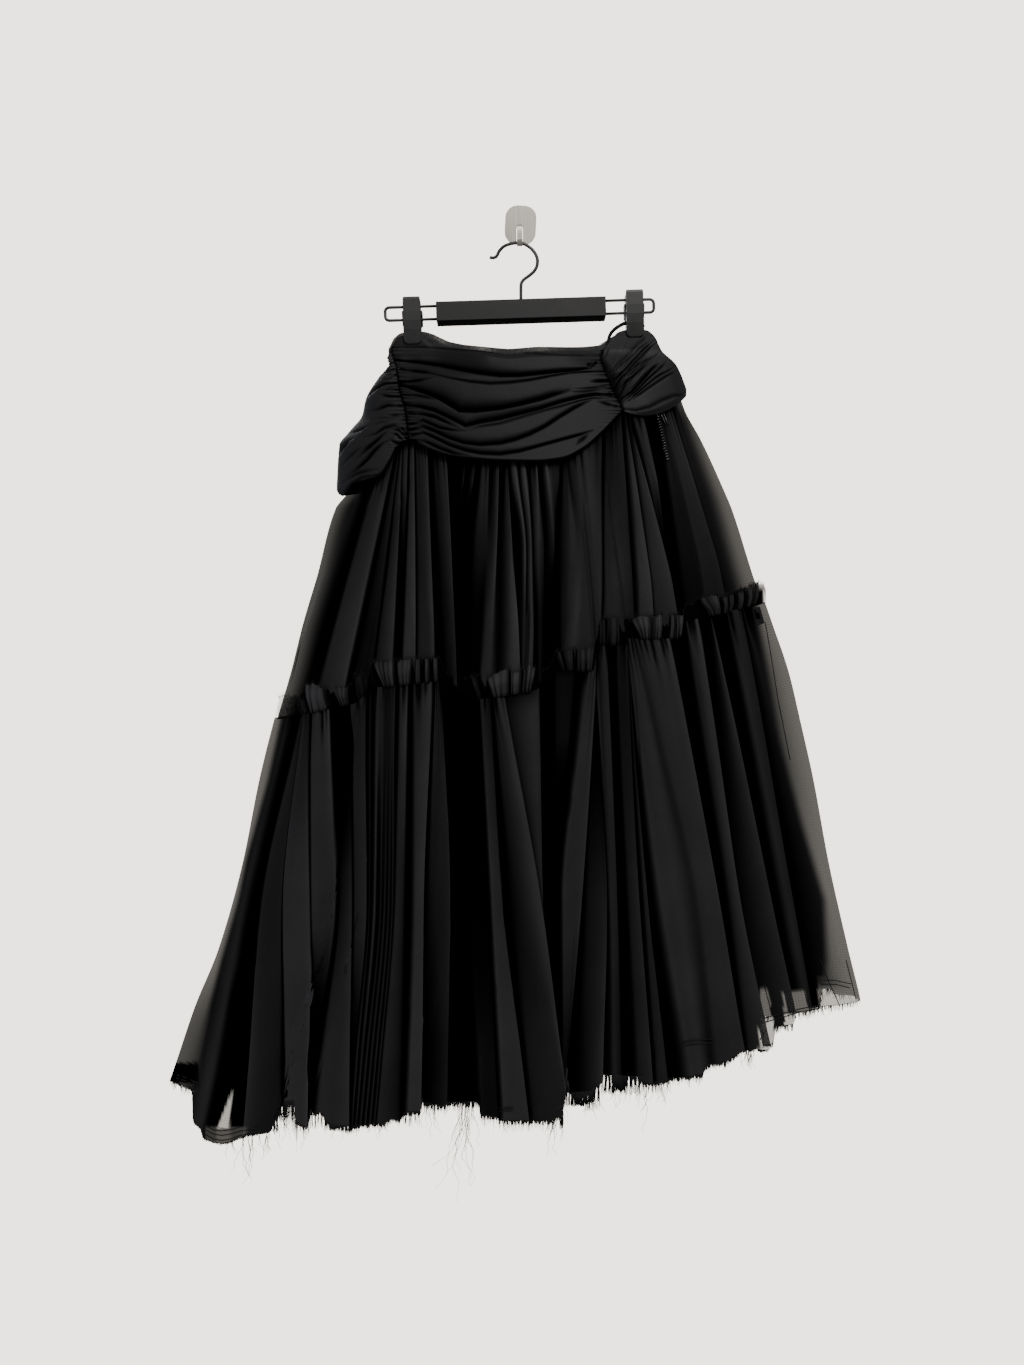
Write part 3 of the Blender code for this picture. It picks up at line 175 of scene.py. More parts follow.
LEFT_PANEL_CREASES = (
    (5.0, 2.4, 1.0, (370, 397), (378, 389.5), (387, 384.5), (400, 382.5)),
    (4.0, 1.8, 1.0, (384, 373.5), (391, 372), (397, 368)),
    (4.0, 1.8, 1.0, (388, 379.5), (394, 377), (399, 374)),
    (3.0, 1.4, 1.0, (391, 366), (395, 362)),
    (3.0, 1.6, 0.9, (385, 391), (392, 389), (401, 390)),
    (4.4, 2.4, 1.0, (381, 394.5), (390, 396.5), (401, 397)),
    (4.4, 3.6, 1.0, (373, 411.5), (382, 409.5), (390, 406), (403, 406)),
    (3.4, 1.6, 0.9, (389, 416), (404, 416)),
    (1.8, 1.6, 0.9, (374, 420), (385, 418), (406, 420)),
    (1.8, 1.6, 0.9, (372, 427), (383, 422.5), (395, 421)),
    (3.0, 2.6, 1.2, (353, 434), (364, 430.5), (373, 425)),
    (4.8, 3.0, 1.2, (366, 437.5), (378, 434), (387, 428), (395, 426), (403, 429), (407, 435)),
    (5.0, 1.5, 0.9, (391, 429), (399, 430), (404, 434), (407, 439)),
    (5.0, 1.5, 0.9, (392, 434), (398, 434.5), (402, 439), (405, 442)),
    (5.4, 1.6, 1.0, (391, 439), (394, 442), (399, 444), (406, 442)),
    (5.6, 3.6, 1.6, (360, 459), (370, 449), (380, 440), (387, 433), (391, 429)),
    (5.6, 3.0, 1.6, (351, 477), (362, 468), (370, 460), (377, 451), (385, 443), (392, 440)),
    (3.4, 2.6, 1.6, (341, 456), (346, 448), (352, 441), (358, 438)),
    (2.6, 2.6, 1.4, (346, 466), (353, 458), (360, 451), (367, 446)),
    (3.4, 3.4, 1.8, (347, 483), (360, 474), (372, 470.5), (381, 469.5)),
    (3.0, 3.0, 1.8, (352, 488), (364, 478), (375, 476), (383, 474)),
)
RIGHT_PANEL_CREASES = (
    (2.6, 1.0, 0.8, (601, 357), (604, 346)),
    (2.6, 1.0, 0.8, (604, 358), (608, 350)),
    (2.6, 3.0, 2.0, (609, 372), (617, 364), (630, 351), (641, 341), (646, 336)),
    (3.0, 1.2, 1.0, (613, 371), (625, 360.5), (638, 349), (648, 341)),
    (4.8, 1.8, 1.0, (614, 380), (621, 373.5), (630, 363), (640, 352), (651, 342)),
    (4.4, 1.6, 1.0, (622, 376), (633, 364), (643, 353), (655, 343)),
    (3.6, 2.4, 1.2, (614, 388), (620, 379), (628, 371.5), (638, 363.5), (648, 358.5), (654, 355)),
    (2.8, 1.4, 0.9, (626, 377.5), (637, 368), (646, 360.5), (658, 352)),
    (4.2, 2.0, 1.4, (619, 396), (622, 390), (625, 383), (632, 376.5), (641, 368), (647, 362)),
    (6.0, 2.6, 1.1, (621, 399), (631, 392), (640, 381.5), (650, 370), (658, 362)),
    (4.2, 1.8, 1.0, (626, 399), (635, 391), (646, 379.5), (656, 370.5), (665, 361)),
    (3.2, 1.6, 1.0, (628, 401), (641, 388.5), (653, 378.5), (665, 371.5), (673, 366.5)),
    (3.2, 1.6, 1.0, (632, 399), (645, 389.5), (656, 382), (666, 375.5), (675, 371.5)),
    (3.0, 3.0, 2.4, (622, 409), (635, 411), (648, 407.5), (660, 401), (672, 396), (684, 395)),
)
# The back's creases, in hundredths of the way down at its left, middle and right, and how far the
# band below each one puffs out.
BACK_CREASES = table(
    "left middle right puff",
    (0, 0, 0, 0.6), (16, 14, 20, 2.2), (28, 30, 34, 2.4), (42, 46, 50, 2.2), (58, 62, 66, 2.4),
    (72, 76, 80, 2.2), (84, 88, 90, 2.0), (100, 100, 100, 0.0),
)
# The right panel's folds: the height where each starts on the seam, where it ends, and its bow.
FAN = table(
    "start x height bow",
    (-143, 101, -135.5, 0.0), (-160, 112, -122.5, 1.0), (-176, 127, -119.3, 1.0),
    (-187, 143, -120.2, 0.0), (-194, 153, -129, -1.0), (-199, 160, -143, -2.0),
    (-203, 169.5, -152.5, -3.0), (-206.5, 177.5, -162, -4.0), (-209.5, 183.5, -175, -6.0),
    (-213, 191.5, -195, -13.0),
)
# The ruffle's groups across the front, in hundredths: the stitching's height at both ends, how far
# the group stands out, and how far the cloth dips after it.
GROUPS = table(
    "start end stitch_start stitch_end push dip",
    (4.4, 14.4, -563, -550, 5, 6),
    (16.7, 30.3, -532, -524, 6, 11),
    (36.9, 49.5, -546, -535, 7, 8),
    (53.6, 61.2, -512, -512, 5, 5),
    (62.5, 68.6, -482, -482, 5, 3),
    (69.0, 79.8, -475, -475, 6, 5),
    (82.1, 97.4, -455, -436, 5, 0),
)
# The ruffle's folds: picture column and row at the top, column at the stitching, how far out
# (which also sets their painted shade).
HEADER_LINES = table(
    "column row foot out",
    (284, 698, 281, 0), (292, 697, 288, 2), (300, 700, 298, -4), (304, 698, 306, 5), (308, 700, 310, 3),
    (310, 700, 312, -4), (311, 686, 314, 6), (319, 684, 318, 8.5), (328, 687, 329, 8),
    (330, 689, 332, 2), (332, 690, 334, -6), (338, 690, 339, -7), (341, 688, 344, 6),
    (346, 688, 347, 8), (351, 688, 350, 5), (352.5, 687, 352, -6), (356, 676, 356, -5),
    (358, 675, 359, 0), (364, 676, 364, 2), (368, 677, 368, -1), (370, 668, 371, -7),
    (372, 665, 375, -1), (374, 664, 380, -6), (376, 663, 384, -5), (377.5, 663, 386, 6),
    (384, 662, 388, 7), (386, 662, 389, 3), (388, 662, 390, 7), (396, 661, 396, 8),
    (398, 661, 397.5, -7), (400, 661, 400, -7), (401, 661, 402, 7), (408, 660, 407, 8),
    (413.5, 660, 411, 8), (414.5, 660, 413, -6), (417.5, 660, 416, -7), (418.5, 659, 418, 6),
    (421.5, 659, 421, 6), (422.5, 659, 422, -7), (426.5, 659, 425, -7), (427.5, 659, 427, 7),
    (430, 659, 430, 6), (431, 659, 431.5, -5), (434, 658, 434, -3), (435, 658, 435.5, 6),
    (438, 658, 438, 6), (440, 660, 439.5, -7), (444, 672, 444, -12), (449, 676, 449, -8),
    (455, 678, 454, -11), (466, 680, 466, -13), (471, 679, 476, -8), (472.5, 676, 479, 4),
    (476, 677, 481, 1), (480, 676, 484, -8), (487, 676, 490, -8), (488.5, 679, 494, 6),
    (497, 673, 499, 9), (508, 669, 507, 6), (510, 669, 510, -5), (512, 673, 512, 7),
    (518, 672, 517, 8.5), (521, 671, 519.5, 3), (522.5, 671, 521, -3), (524.5, 669, 523, 6),
    (526, 667, 524.5, 3), (528, 665, 526, 7), (534.5, 668, 530, 8), (536, 670, 532, -7),
    (541, 672, 541, -13), (550, 668, 550, -13), (555, 655, 558, -9), (556.5, 652, 562, 2),
    (560, 652, 564, 4), (562, 652, 565.5, -4), (564, 651, 568, 2), (571, 650, 571.5, 5),
    (573, 650, 573, -2), (575, 650, 575, -8), (577, 650, 577.5, 3), (585, 649, 585, 5),
    (592, 648, 591, 5), (594, 649, 592.5, -6), (598, 632, 597, -8), (599.5, 621, 600, 2),
    (603.5, 619, 604, 3), (605, 619, 605.5, -6), (607, 618, 607, 2), (617, 619, 617, 4),
    (620, 620, 620, -6), (629, 619, 636, -8), (631, 620, 640, 5), (638, 616, 643, 8),
    (646, 617, 647, 8), (648, 617, 649, 1), (651, 617, 651, 2), (653, 616, 653, 7), (657, 615, 657, 8),
    (660, 616, 659, 4), (661.5, 616, 661, -7), (667.5, 616, 666.5, -7), (669, 615, 668.5, 7),
    (671.5, 615, 671, 6), (673, 615, 673, 0), (675, 615, 675.5, 7), (681, 615, 681, 8),
    (682.5, 612, 683, -6), (684, 606, 690, -3), (690, 605, 696, -7), (695, 600, 704, -7),
    (697, 598, 708, 6), (703, 597, 712, 3), (710, 596, 714, 8), (713, 597, 716.5, 3),
    (714.5, 597, 717.5, -6), (716, 598, 719, -4), (718, 597, 721, 7), (721, 596, 723, 4),
    (722.5, 596, 724, -4), (724, 595, 725.5, 6), (727, 594, 727.5, 5), (728.5, 594, 729, -6),
    (731.5, 593, 733, -5), (733, 592, 735, 7), (737, 591, 738, 5), (738.5, 590, 739.5, -5),
    (741, 589, 743, -4), (742.5, 587, 745, 7), (745, 586, 747, 6), (746, 586, 748, -4),
    (749.5, 585, 751, 2), (751, 584, 752, 5), (752.5, 584, 753.5, -6), (756, 584, 757, -5),
    (757.5, 584, 759, 4), (762, 584, 764, 0),
)
# Loose threads under the hem: column, spread in columns, how many, the longest in millimetres.
LOOSE_THREADS = (
    (216, 6, 5, 18), (240, 10, 9, 52), (262, 8, 6, 30), (280, 8, 9, 48), (305, 6, 6, 30),
    (345, 12, 6, 14), (380, 12, 8, 16), (430, 10, 10, 34), (466, 10, 14, 100), (500, 14, 6, 14),
    (550, 8, 6, 38), (562, 6, 8, 30), (590, 12, 20, 30), (625, 16, 24, 34), (641, 6, 8, 60),
    (660, 12, 16, 24), (700, 16, 14, 16), (752, 6, 18, 22), (790, 16, 10, 8), (845, 9, 10, 12),
)
SIDE_STITCH_LEFT = -566.0
SIDE_STITCH_RIGHT = -433.0
SIDE_HEADER = 22.0
# The folds of each tier's front, a line for each row of the table: its place in picture columns
# at three picture rows, and how far it stands out there, which also sets its painted shade. A line
# of four numbers is straight and gives the first and last row alone. Faces have two lines or more.
UPPER_LINE_ROWS = (480, 550, 620)
UPPER_LINES = (
    (362, 312, 3, 4), (366, 322, 1, 0), (371, 331, -6, -9), (378, 342, 5, 6), (388, 358.5, 7, 9),
    (390.8, 362, -6, -8), (393, 366, 2, 0), (395, 376, 4, 2), (396.3, 378.5, -1, -5),
    (397.5, 382, 4, 4), (400.5, 394.5, 6, 8), (401.5, 398, 0, -8), (402.5, 400.5, 4, -6),
    (406, 402.5, 6, -8), (408, 404, -5, -8), (409.5, 406, 6, 7), (413.2, 415, 8, 9.5),
    (415, 416.3, -4, -2), (416.5, 418, 3, 4), (421, 425, 5, 6), (427.5, 431, 7, 8), (431, 436, -8, -10),
    (436, 443.5, 2, 0), (447.5, 450.5, 453, 7, 6.5, 5), (449, 451.5, 454.5, -7, -12, -14),
    (460, 455, 458, -6, -13, -14), (463.5, 457, 460, 2, -12, -14), (466, 460, 462, -7, -13, -14),
    (472.5, 463, 464, 3, -12, -14), (475, 466, 466, -8, -13, -14), (478.5, 471.5, 470, -4, -9, -12),
    (480, 473, 471, 5, 1, -4), (484, 478, 478, 6, 3, -3), (487, 484, 480.5, 5, 3, -5),
    (489.5, 486, 482.5, -3, 3, 3), (493, 489, 484.5, 2, 4, 6), (497, 493.5, 490, 7, 8, 7),
    (498.5, 497, 496.5, -6, -3, 1), (503, 500, 499, -7, -1, -1), (504.5, 502.5, 502.5, 2, 2, 2),
    (507, 509, 509, 5, 8, 8), (508.5, 511, 515.3, 0, 6, 9.5), (510, 513, 518, -7, -8, -7),
    (511.5, 519.5, 520.3, 5, -5, 3), (515, 522.3, 522, 8, 7, 5), (517.8, 524, 523.5, 6, 7, 5),
    (518.8, 525, 524.5, -5, -4, 4), (520.5, 526.3, 526, 3, 4, 4), (525.5, 529, 528.5, 8, 7, 8),
    (527.8, 530.8, 531, 3, 4, 7), (529, 531.9, 532.5, -6, -8, -8), (531, 533, 535, 2, 2, -6),
    (536.5, 538, 538.5, 8, 6, 2), (539, 543.5, 542.5, -2, 2, 0), (540.5, 546, 545, -7, -8, -12),
    (543, 548, 547, 0, 0, -13), (547.5, 552.5, 550, 8, 2, -13), (553, 555, 553, 4, 0, -13),
    (559, 557, 556, 2, -10, -13), (561, 558.5, 559, -8, -12, -13), (563.5, 561, 561.5, 2, 0, 2),
    (568, 572, 566, 5, 6, 5), (569.3, 579, 574, 2, 6, 8), (578, 584, 581, 6, 6.5, 7),
    (586, 590, 590, 7, 7, 7.5), (596, 597, 597, 5, 6.5, 7), (601, 600, 600, 3, 5, 3),
    (602.8, 601.3, 600.8, -8, -6, -6), (605.5, 603.5, 603, 2.5, 4, 5), (614, 615.5, 617, 3.5, 6, 7),
    (624, 632.5, 4, 3), (626.5, 634.8, -4, -5), (629, 637.5, 6, 7), (632.8, 650.5, 8, 9),
    (634.5, 651.8, -1, 0), (637, 654, 4, 5), (643, 678, 8, 9), (645.5, 680, -8, -13),
    (648.5, 681, 4, -12), (655, 682.5, 6, -12), (657.5, 683.5, -7, -13), (664, 685, -10, -13),
    (669, 689, 2, -1), (676, 705, 3, 2), (678, 707, 5, 5), (689, 726, 7, 6.5), (691, 729, 1, 1),
    (694, 733, 3, 3), (701, 741, 4, 4), (703, 744, 4, 4), (711, 755, 2, 2),
)
LOWER_LINE_ROWS = (740, 900, 1060)
LOWER_LINES = (
    (278, 240, 201, 1, 1, 2), (286, 249, 217, 3, 4, 6), (294, 258, 230, -9, -10, -12),
    (299, 264.7, 249.5, 1, 1, -12), (301.5, 268, 252.5, 5, 5, 6), (303, 285, 279, 4, 5, 3),
    (303.6, 286, 282, 2, 1, -2), (304.5, 287.5, 284.5, 6, 8, 8), (312, 311, 307.5, 4, 10, 10),
    (315, 312.5, 308.5, -4, 3, -6), (317, 314, 309.5, 7, 8, -7), (332, 335, 313, 9, 8, -8),
    (336, 339, 317, -9, -8, -12), (342, 341, 324.5, -10, 1, 6), (350, 352.5, 350, -9, 6, 8),
    (351.5, 354.5, 352, -9, -3, -6), (353, 356, 353.5, 4, 5, -2), (365, 367, 355, 5, 7, -1),
    (368, 368.6, 356, -5, -3, 0), (371, 370.5, 357.5, 2, 3, 6), (374, 372.5, 359.6, -4, -3, 0),
    (378, 375.5, 361.7, 7, 7, 6), (381, 379, 363.8, 6, -3, 0), (384, 381.5, 366, 5, 4, 6),
    (387, 383.5, 368.2, 3, 0, 0), (389, 385.5, 370.3, 3, 5, 6), (391, 387.5, 372.4, 3, 0, 0),
    (393, 389.5, 374.5, 4, 5, 6), (394.5, 391.3, 376.5, 4, 0, 0), (396, 393, 378.5, 5, 5, 6),
    (399, 394.8, 380, -6, 1, 1), (401.5, 396.5, 381.5, 5, 6, 6), (407.5, 403.5, 399, 8, 4, 2),
    (412, 409, 403.5, -7, -8, -8), (417, 415, 408, 6, 8, 9), (430, 422.3, 418.8, 8, 9.5, 9.5),
    (432.5, 424, 420.5, -5, -6, -6), (434.5, 428, 424, 5, 2, -3), (441.5, 447.5, 445.5, 6, 6, 4),
    (446, 452, 450, -16, -17, -16), (458, 461, 462, -18, -18, -17), (470, 468, 473, -16, -14, -12),
    (476, 472, 479.5, -15, -5, 2), (480, 488, 495, -12, -5, 2), (481, 489, 497, -10, -6, -3),
    (482.5, 490.5, 499, 5, 8, 9), (491.5, 500, 519, 3, 7, 9), (495, 506, 523, -8, -8, -5),
    (497.8, 512.5, 526.5, 4, 0, 4), (499, 522.5, 553, 5, 5, 7), (511, 538, 557.5, 9, 10.5, 10),
    (513, 539, 558.2, 3, 4, 0), (515, 539.7, 558.7, 4, 5, -2), (538, 540.8, 559.2, 8, 7, -4),
    (544, 546, 559.6, -16, -17, -6), (554, 555, 559.9, -16, -17, -6), (557, 557.5, 560.2, 0, -15, -5),
    (568, 558.5, 560.5, 0, -15, -5), (573, 559.5, 560.8, -6, -13, -5), (580, 561, 561.2, 7, 8, 3),
    (590, 579, 567, 8, 8, 1), (592.5, 582, 572, -5, -5, -8), (593.5, 586, 583, -4, 2, 1),
    (596.5, 604.5, 600, -4, 6, 8), (597.5, 606, 602, -5, -4, -7), (598.7, 607.3, 611.5, 6, 6, 5),
    (608, 614, 618, 6, 5, 3), (613, 620, 625, -6, -9, -9), (618, 625, 630, -6, -9, -8),
    (620.5, 627, 635, 2, 3, 4), (631, 637, 647, 3, 6, 7), (632.4, 640, 650, -6, -6, -6),
    (633.4, 643, 653, 2, 4, 4), (634.6, 646, 661, 2, 5, 5), (636, 650, 670, -6, -8, -8),
    (638, 657.5, 683, 7, 8, 8), (648, 672, 692, 8, 9, 9), (655, 688, 706, 5, 6, 4),
    (661, 694, 712, 7, 8, 7), (685, 714, 740, 9, 10, 10), (690, 718, 742.5, -12, -12, -10),
    (700, 724, 744, -12, -12, -8), (703, 726, 746, 6, 4, 5), (711.5, 734, 766, 8, 9, 9),
    (716, 737, 768.5, -8, -5, -6), (721, 739.5, 771, -2, 0, 2), (731.5, 763, 797, 8, 8, 8),
    (737, 768, 800.5, -8, -8, -4), (744, 773, 803.5, -6, -6, -3), (747, 776, 806, 4, 4, 2),
    (750, 779.5, 810, 7, 7, 5), (759, 786, 816, 5, 5, 3), (764, 795, 822, -3, -4, -3),
    (768, 803, 829, 1, 1, 1), (775, 820, 848, 4, 5, 4),
)
HEM_FRONT = table(
    "column row",
    (173, 1081), (180, 1084), (190, 1087), (195, 1090), (196, 1120), (198, 1125), (204, 1128),
    (205.5, 1138), (212, 1142.5), (222, 1144), (230, 1142.5), (237, 1139), (250, 1135.5), (262, 1134),
    (272, 1132), (273, 1121), (279, 1119), (280, 1102), (295, 1101), (296, 1122), (307, 1128),
    (309, 1112), (323, 1113), (326, 1122), (332, 1125), (352, 1127), (370, 1124), (386, 1124),
    (388, 1119), (402, 1121), (405, 1112), (418, 1112), (420, 1102), (440, 1106), (448, 1103),
    (479, 1102), (480.5, 1115), (497, 1118), (500, 1121), (525, 1121), (552, 1121), (556, 1116),
    (560, 1115), (561.5, 1092), (572, 1093), (588, 1092), (599, 1083), (602, 1075), (640, 1077),
    (646, 1084), (660, 1082), (680, 1078), (697, 1074), (700, 1066), (720, 1062), (735, 1052),
    (745, 1050.5), (752, 1048.5), (753, 1050.5), (761, 1050.5), (763, 1047), (769, 1044), (771, 1027),
    (785, 1025), (787, 1014), (800, 1011), (818, 1007), (840, 1004), (858, 1001),
)
HEM_BACK = table(
    "across height",
    (-401, -984), (-371, -995), (-250, -984), (-80, -960), (120, -932), (275, -910), (340, -902),
    (344, -878), (356, -878), (358, -884), (379, -886), (388, -892),
)
# Where single cloth begins beside the side seams, and where the right hem's doubled cloth ends.
UPPER_SHEER_RIGHT = table("row column", (400, 676), (420, 688), (500, 713), (620, 744))
LOWER_SHEER_LEFT = table(
    "row column",
    (700, 285), (780, 268), (860, 246), (900, 238), (960, 221), (1000, 211), (1060, 200), (1085, 200),
    (1088, 189),
)
LOWER_SHEER_RIGHT = table(
    "row column",
    (600, 754), (740, 779), (820, 800), (900, 824), (960, 826), (1010, 820),
)
HEM_DOUBLE = table(
    "column row",
    (770, 986), (771.5, 1028), (783, 1028), (784.5, 991), (807.5, 988), (809, 1007), (819.5, 1007),
    (821, 975),
)
# The fringe: picture columns between which it runs, how many threads, shortest and longest in
# picture rows, how much they draw together into bunches, and their thickness in hundredths.
FRINGE = (
    (173, 195, 70, 1, 3, 0.2, 35), (198, 272, 380, 1, 3, 0.2, 35), (273, 281, 100, 3, 16, 0.5, 35),
    (281, 296, 150, 14, 22, 0.3, 20), (272, 308, 150, 4, 14, 0.5, 17), (281, 296, 60, 20, 33, 0.6, 17),
    (296, 308, 110, 2, 5, 0.3, 35), (308, 325, 170, 1, 5, 0.2, 35), (308, 325, 90, 8, 20, 0.5, 17),
    (325, 352, 260, 3, 10, 0.3, 35), (352, 404, 400, 1, 5, 0.2, 35), (352, 404, 120, 3, 10, 0.3, 17),
    (404, 420, 140, 2, 6, 0.2, 35), (404, 420, 70, 8, 16, 0.5, 17), (420, 480, 460, 2, 7, 0.3, 35),
    (420, 480, 160, 4, 13, 0.4, 17), (480, 561, 520, 2, 6, 0.3, 35), (480, 561, 220, 3, 14, 0.4, 17),
    (561, 563.5, 40, 12, 15, 0.0, 35), (563.5, 572, 60, 12, 16, 0.2, 16),
    (569, 573, 46, 10, 15, 0.5, 35), (573, 592, 300, 11, 16, 0.15, 35), (586, 590, 24, 16, 26, 0.5, 35),
    (592, 599, 70, 5, 16, 0.5, 30), (592, 612, 110, 14, 25, 0.4, 16), (606, 609, 40, 16, 25, 0.6, 30),
    (612, 614, 40, 14, 19, 0.3, 35), (614, 625, 200, 12, 20, 0.15, 33),
    (612, 640, 130, 14, 24, 0.5, 17), (625, 640, 90, 4, 18, 0.5, 30), (640, 647, 120, 5, 9, 0.1, 35),
    (640, 661, 90, 6, 16, 0.5, 17), (647, 661, 130, 2, 6, 0.2, 35), (661, 700, 260, 1, 5, 0.2, 35),
    (661, 735, 200, 2, 10, 0.4, 17), (700, 735, 260, 2, 6, 0.3, 35), (735, 771, 230, 1, 4, 0.2, 35),
    (771, 787, 150, 2, 8, 0.4, 20), (787, 820, 170, 2, 9, 0.4, 18), (820, 858, 170, 2, 9, 0.4, 18),
)
# Rows of stitches that show through the sheer hem, in picture columns and rows.
STITCHES = (
    ((205, 1134), (213, 1139), (222, 1140.5), (231, 1139), (240, 1135.5), (256, 1132)),
    ((206, 1130), (213, 1134), (222, 1135.5), (231, 1134), (241, 1131), (258, 1128)),
    ((206, 1126), (214, 1130), (222, 1131), (232, 1129.5), (243, 1126)),
    ((176, 1078), (186, 1081), (198, 1088)),
    ((177, 1075), (187, 1078), (199, 1084)),
    ((760, 1040), (766, 1030)),
    ((762, 1019), (784, 1013), (800, 1009), (821, 1005)),
    ((762, 1023), (784, 1017), (800, 1012), (821, 1008)),
    ((820, 980), (835, 980.5), (851, 984)),
    ((822, 984.5), (836, 984.5), (850, 988)),
    ((820, 960), (828, 980), (840, 1007)),
    ((787, 986), (791, 1003), (796, 1018)),
    ((803, 985), (807, 1003), (811, 1014)),
    ((764, 985), (768, 1000), (772, 1016)),
    ((761, 1020), (763, 1035), (763, 1048)),
    ((846, 960), (851, 980), (856, 1000)),
    ((682, 1042), (692, 1040), (715, 1039)),
    ((682, 1046), (692, 1044), (712, 1043)),
    ((498, 1108), (513, 1107)),
    ((498, 1111), (513, 1110)),
    ((765, 622), (770, 650), (778, 700), (790, 760)),
)
# How much of the folds and of the groups' swell shows on the way down.
UPPER_ROWS = table(
    "down folds swell",
    (0.0, 0.12, 0.0),
    (0.10, 0.45, 0.1),
    (0.35, 0.9, 0.4),
    (0.70, 1.0, 0.8),
    (0.88, 0.5, 1.0),
    (1.0, 0.0, 1.0),
)
LOWER_ROWS = table(
    "down folds swell",
    (0.0, 0.0, 1.0),
    (0.08, 0.35, 1.0),
    (0.32, 0.75, 0.8),
    (0.66, 0.95, 0.5),
    (1.0, 1.15, 0.3),
)


def tangents(slopes):
    """Slopes at a curve's points, from those of its steps, so that it doesn't overshoot."""
    ahead, behind = slopes[..., :-1], slopes[..., 1:]
    same_way = ahead * behind > 0
    total = np.where(same_way, ahead + behind, 1.0)
    inner = np.where(same_way, 2 * ahead * behind / total, 0.0)
    return np.concatenate((slopes[..., :1], inner, slopes[..., -1:]), axis=-1)


def curve(first, last, rise_first, rise_last, u):
    """A cubic from first to last, with what it would rise over the step from either end."""
    start = first * (1 + 2 * u) + rise_first * u
    finish = last * (3 - 2 * u) - rise_last * (1 - u)
    return start * (1 - u) ** 2 + finish * u**2


def smooth(xs, ys, at):
    """Heights at places on a smooth curve through points, with no overshoot."""
    order = np.argsort(xs)
    xs, ys = np.asarray(xs, float)[order], np.asarray(ys, float)[order]
    at = np.clip(at, xs[0], xs[-1])
    steps = np.diff(xs)
    ways = tangents(np.diff(ys) / steps)
    i = np.clip(np.searchsorted(xs, at) - 1, 0, len(steps) - 1)
    u = (at - xs[i]) / steps[i]
    return curve(ys[i], ys[i + 1], ways[i] * steps[i], ways[i + 1] * steps[i], u)


def between(values, q):
    """Each row of values read at q, which counts along its columns, with no overshoot."""
    ways = tangents(np.diff(values, axis=1))
    i = np.clip(q.astype(int), 0, values.shape[1] - 2)
    return curve(values[:, i], values[:, i + 1], ways[:, i], ways[:, i + 1], q - i)


def read(rows, key, at, column):
    """One column of a table at places along another, on a smooth curve."""
    return smooth(rows[key], rows[column], at)


def read_straight(rows, key, at, column):
    """The same, on straight lines from row to row."""
    return np.interp(at, rows[key], rows[column])


def mix(a, b, share):
    """From a at share 0 to b at share 1."""
    return a + (b - a) * share


def ease(share):
    """From 0 to 1 with a soft start and finish."""
    share = np.clip(share, 0.0, 1.0)
    return share * share * (3 - 2 * share)


def after(at, start, run):
    """Rises from 0 at start to 1 over the run that follows."""
    return ease((at - start) / run)


def before(at, end, run):
    """Falls from 1 to 0 over the run that comes before end."""
    return ease((end - at) / run)


def bell(at, middle, reach):
    """1 at the middle, fading away to both sides."""
    return np.exp(-(((at - middle) / reach) ** 2))


def inside(share, reach):
    """0 at both side seams, rising to 1 at a share of reach from them."""
    return ease(np.minimum(share, 1 - share) / reach)


def unit(ways):
    """Directions of length 1."""
    return ways / np.maximum(np.linalg.norm(ways, axis=-1, keepdims=True), 1e-9)


def grid(rows, columns):
    """Shares across and down a sheet's grid of points."""
    return np.linspace(0, 1, columns)[None, :], np.linspace(0, 1, rows)[:, None]


def evenly(run, places, count):
    """Places that lie evenly along a path, from the lengths of its steps."""
    along = np.concatenate(([0.0], np.cumsum(run)))
    return np.interp(np.linspace(0, along[-1], count), along, places)


def seen_x(column):
    """Millimetres right of the origin for a picture column, as seen on the wall plane."""
    return (column - PICTURE_COLUMN) * PIXEL


def seen_height(row):
    """Millimetres above the origin for a picture row."""
    return (PICTURE_ROW - row) * PIXEL


def column_of(x):
    """The picture column of a seen x."""
    return x / PIXEL + PICTURE_COLUMN


def row_of(height):
    """The picture row of a seen height."""
    return PICTURE_ROW - height / PIXEL


def place(x, height, depth):
    """World points, in metres, for what is seen at x and height and stands depth off the wall."""
    near = 1.0 - depth / EYE_DISTANCE
    world_x = (EYE_X + (x - EYE_X) * near) * MM
    world_height = (EYE_HEIGHT + (height - EYE_HEIGHT) * near) * MM
    return np.stack((world_x, -depth * MM + 0 * x, world_height), axis=-1)


def bulge(share):
    """How far the front stands out between the side seams: 0 at both, 1 in the middle."""
    share = np.clip(share, 0.0, 1.0)
    return np.maximum(1 - np.abs(2 * share - 1) ** 2.6, 0.0) ** 0.6


def sides_of(form, height):
    """Seen x of the form's left and right side at a height."""
    return read(form, "height", height, "left"), read(form, "height", height, "right")


def form_point(form, share, height, back):
    """Seen x and depth on the form's front, at a share of the way from its left side."""
    left, right = sides_of(form, height)
    front = read(form, "height", height, "front")
    return mix(left, right, share), mix(back, front, bulge(share))


def push_out(form, share, height, back, push):
    """A place on the form moved out by push, square to it, as seen x and depth."""
    step = 0.004
    x, depth = form_point(form, share, height, back)
    left_x, left_depth = form_point(form, np.maximum(share - step, 0.0), height, back)
    right_x, right_depth = form_point(form, np.minimum(share + step, 1.0), height, back)
    run_x, run_depth = right_x - left_x, right_depth - left_depth
    length = np.hypot(run_x, run_depth)
    return x - run_depth / length * push, depth + run_x / length * push


def share_at(form, x, height):
    """How far across the form a seen place is."""
    left, right = sides_of(form, height)
    return np.clip((x - left) / (right - left), 0.0, 1.0)


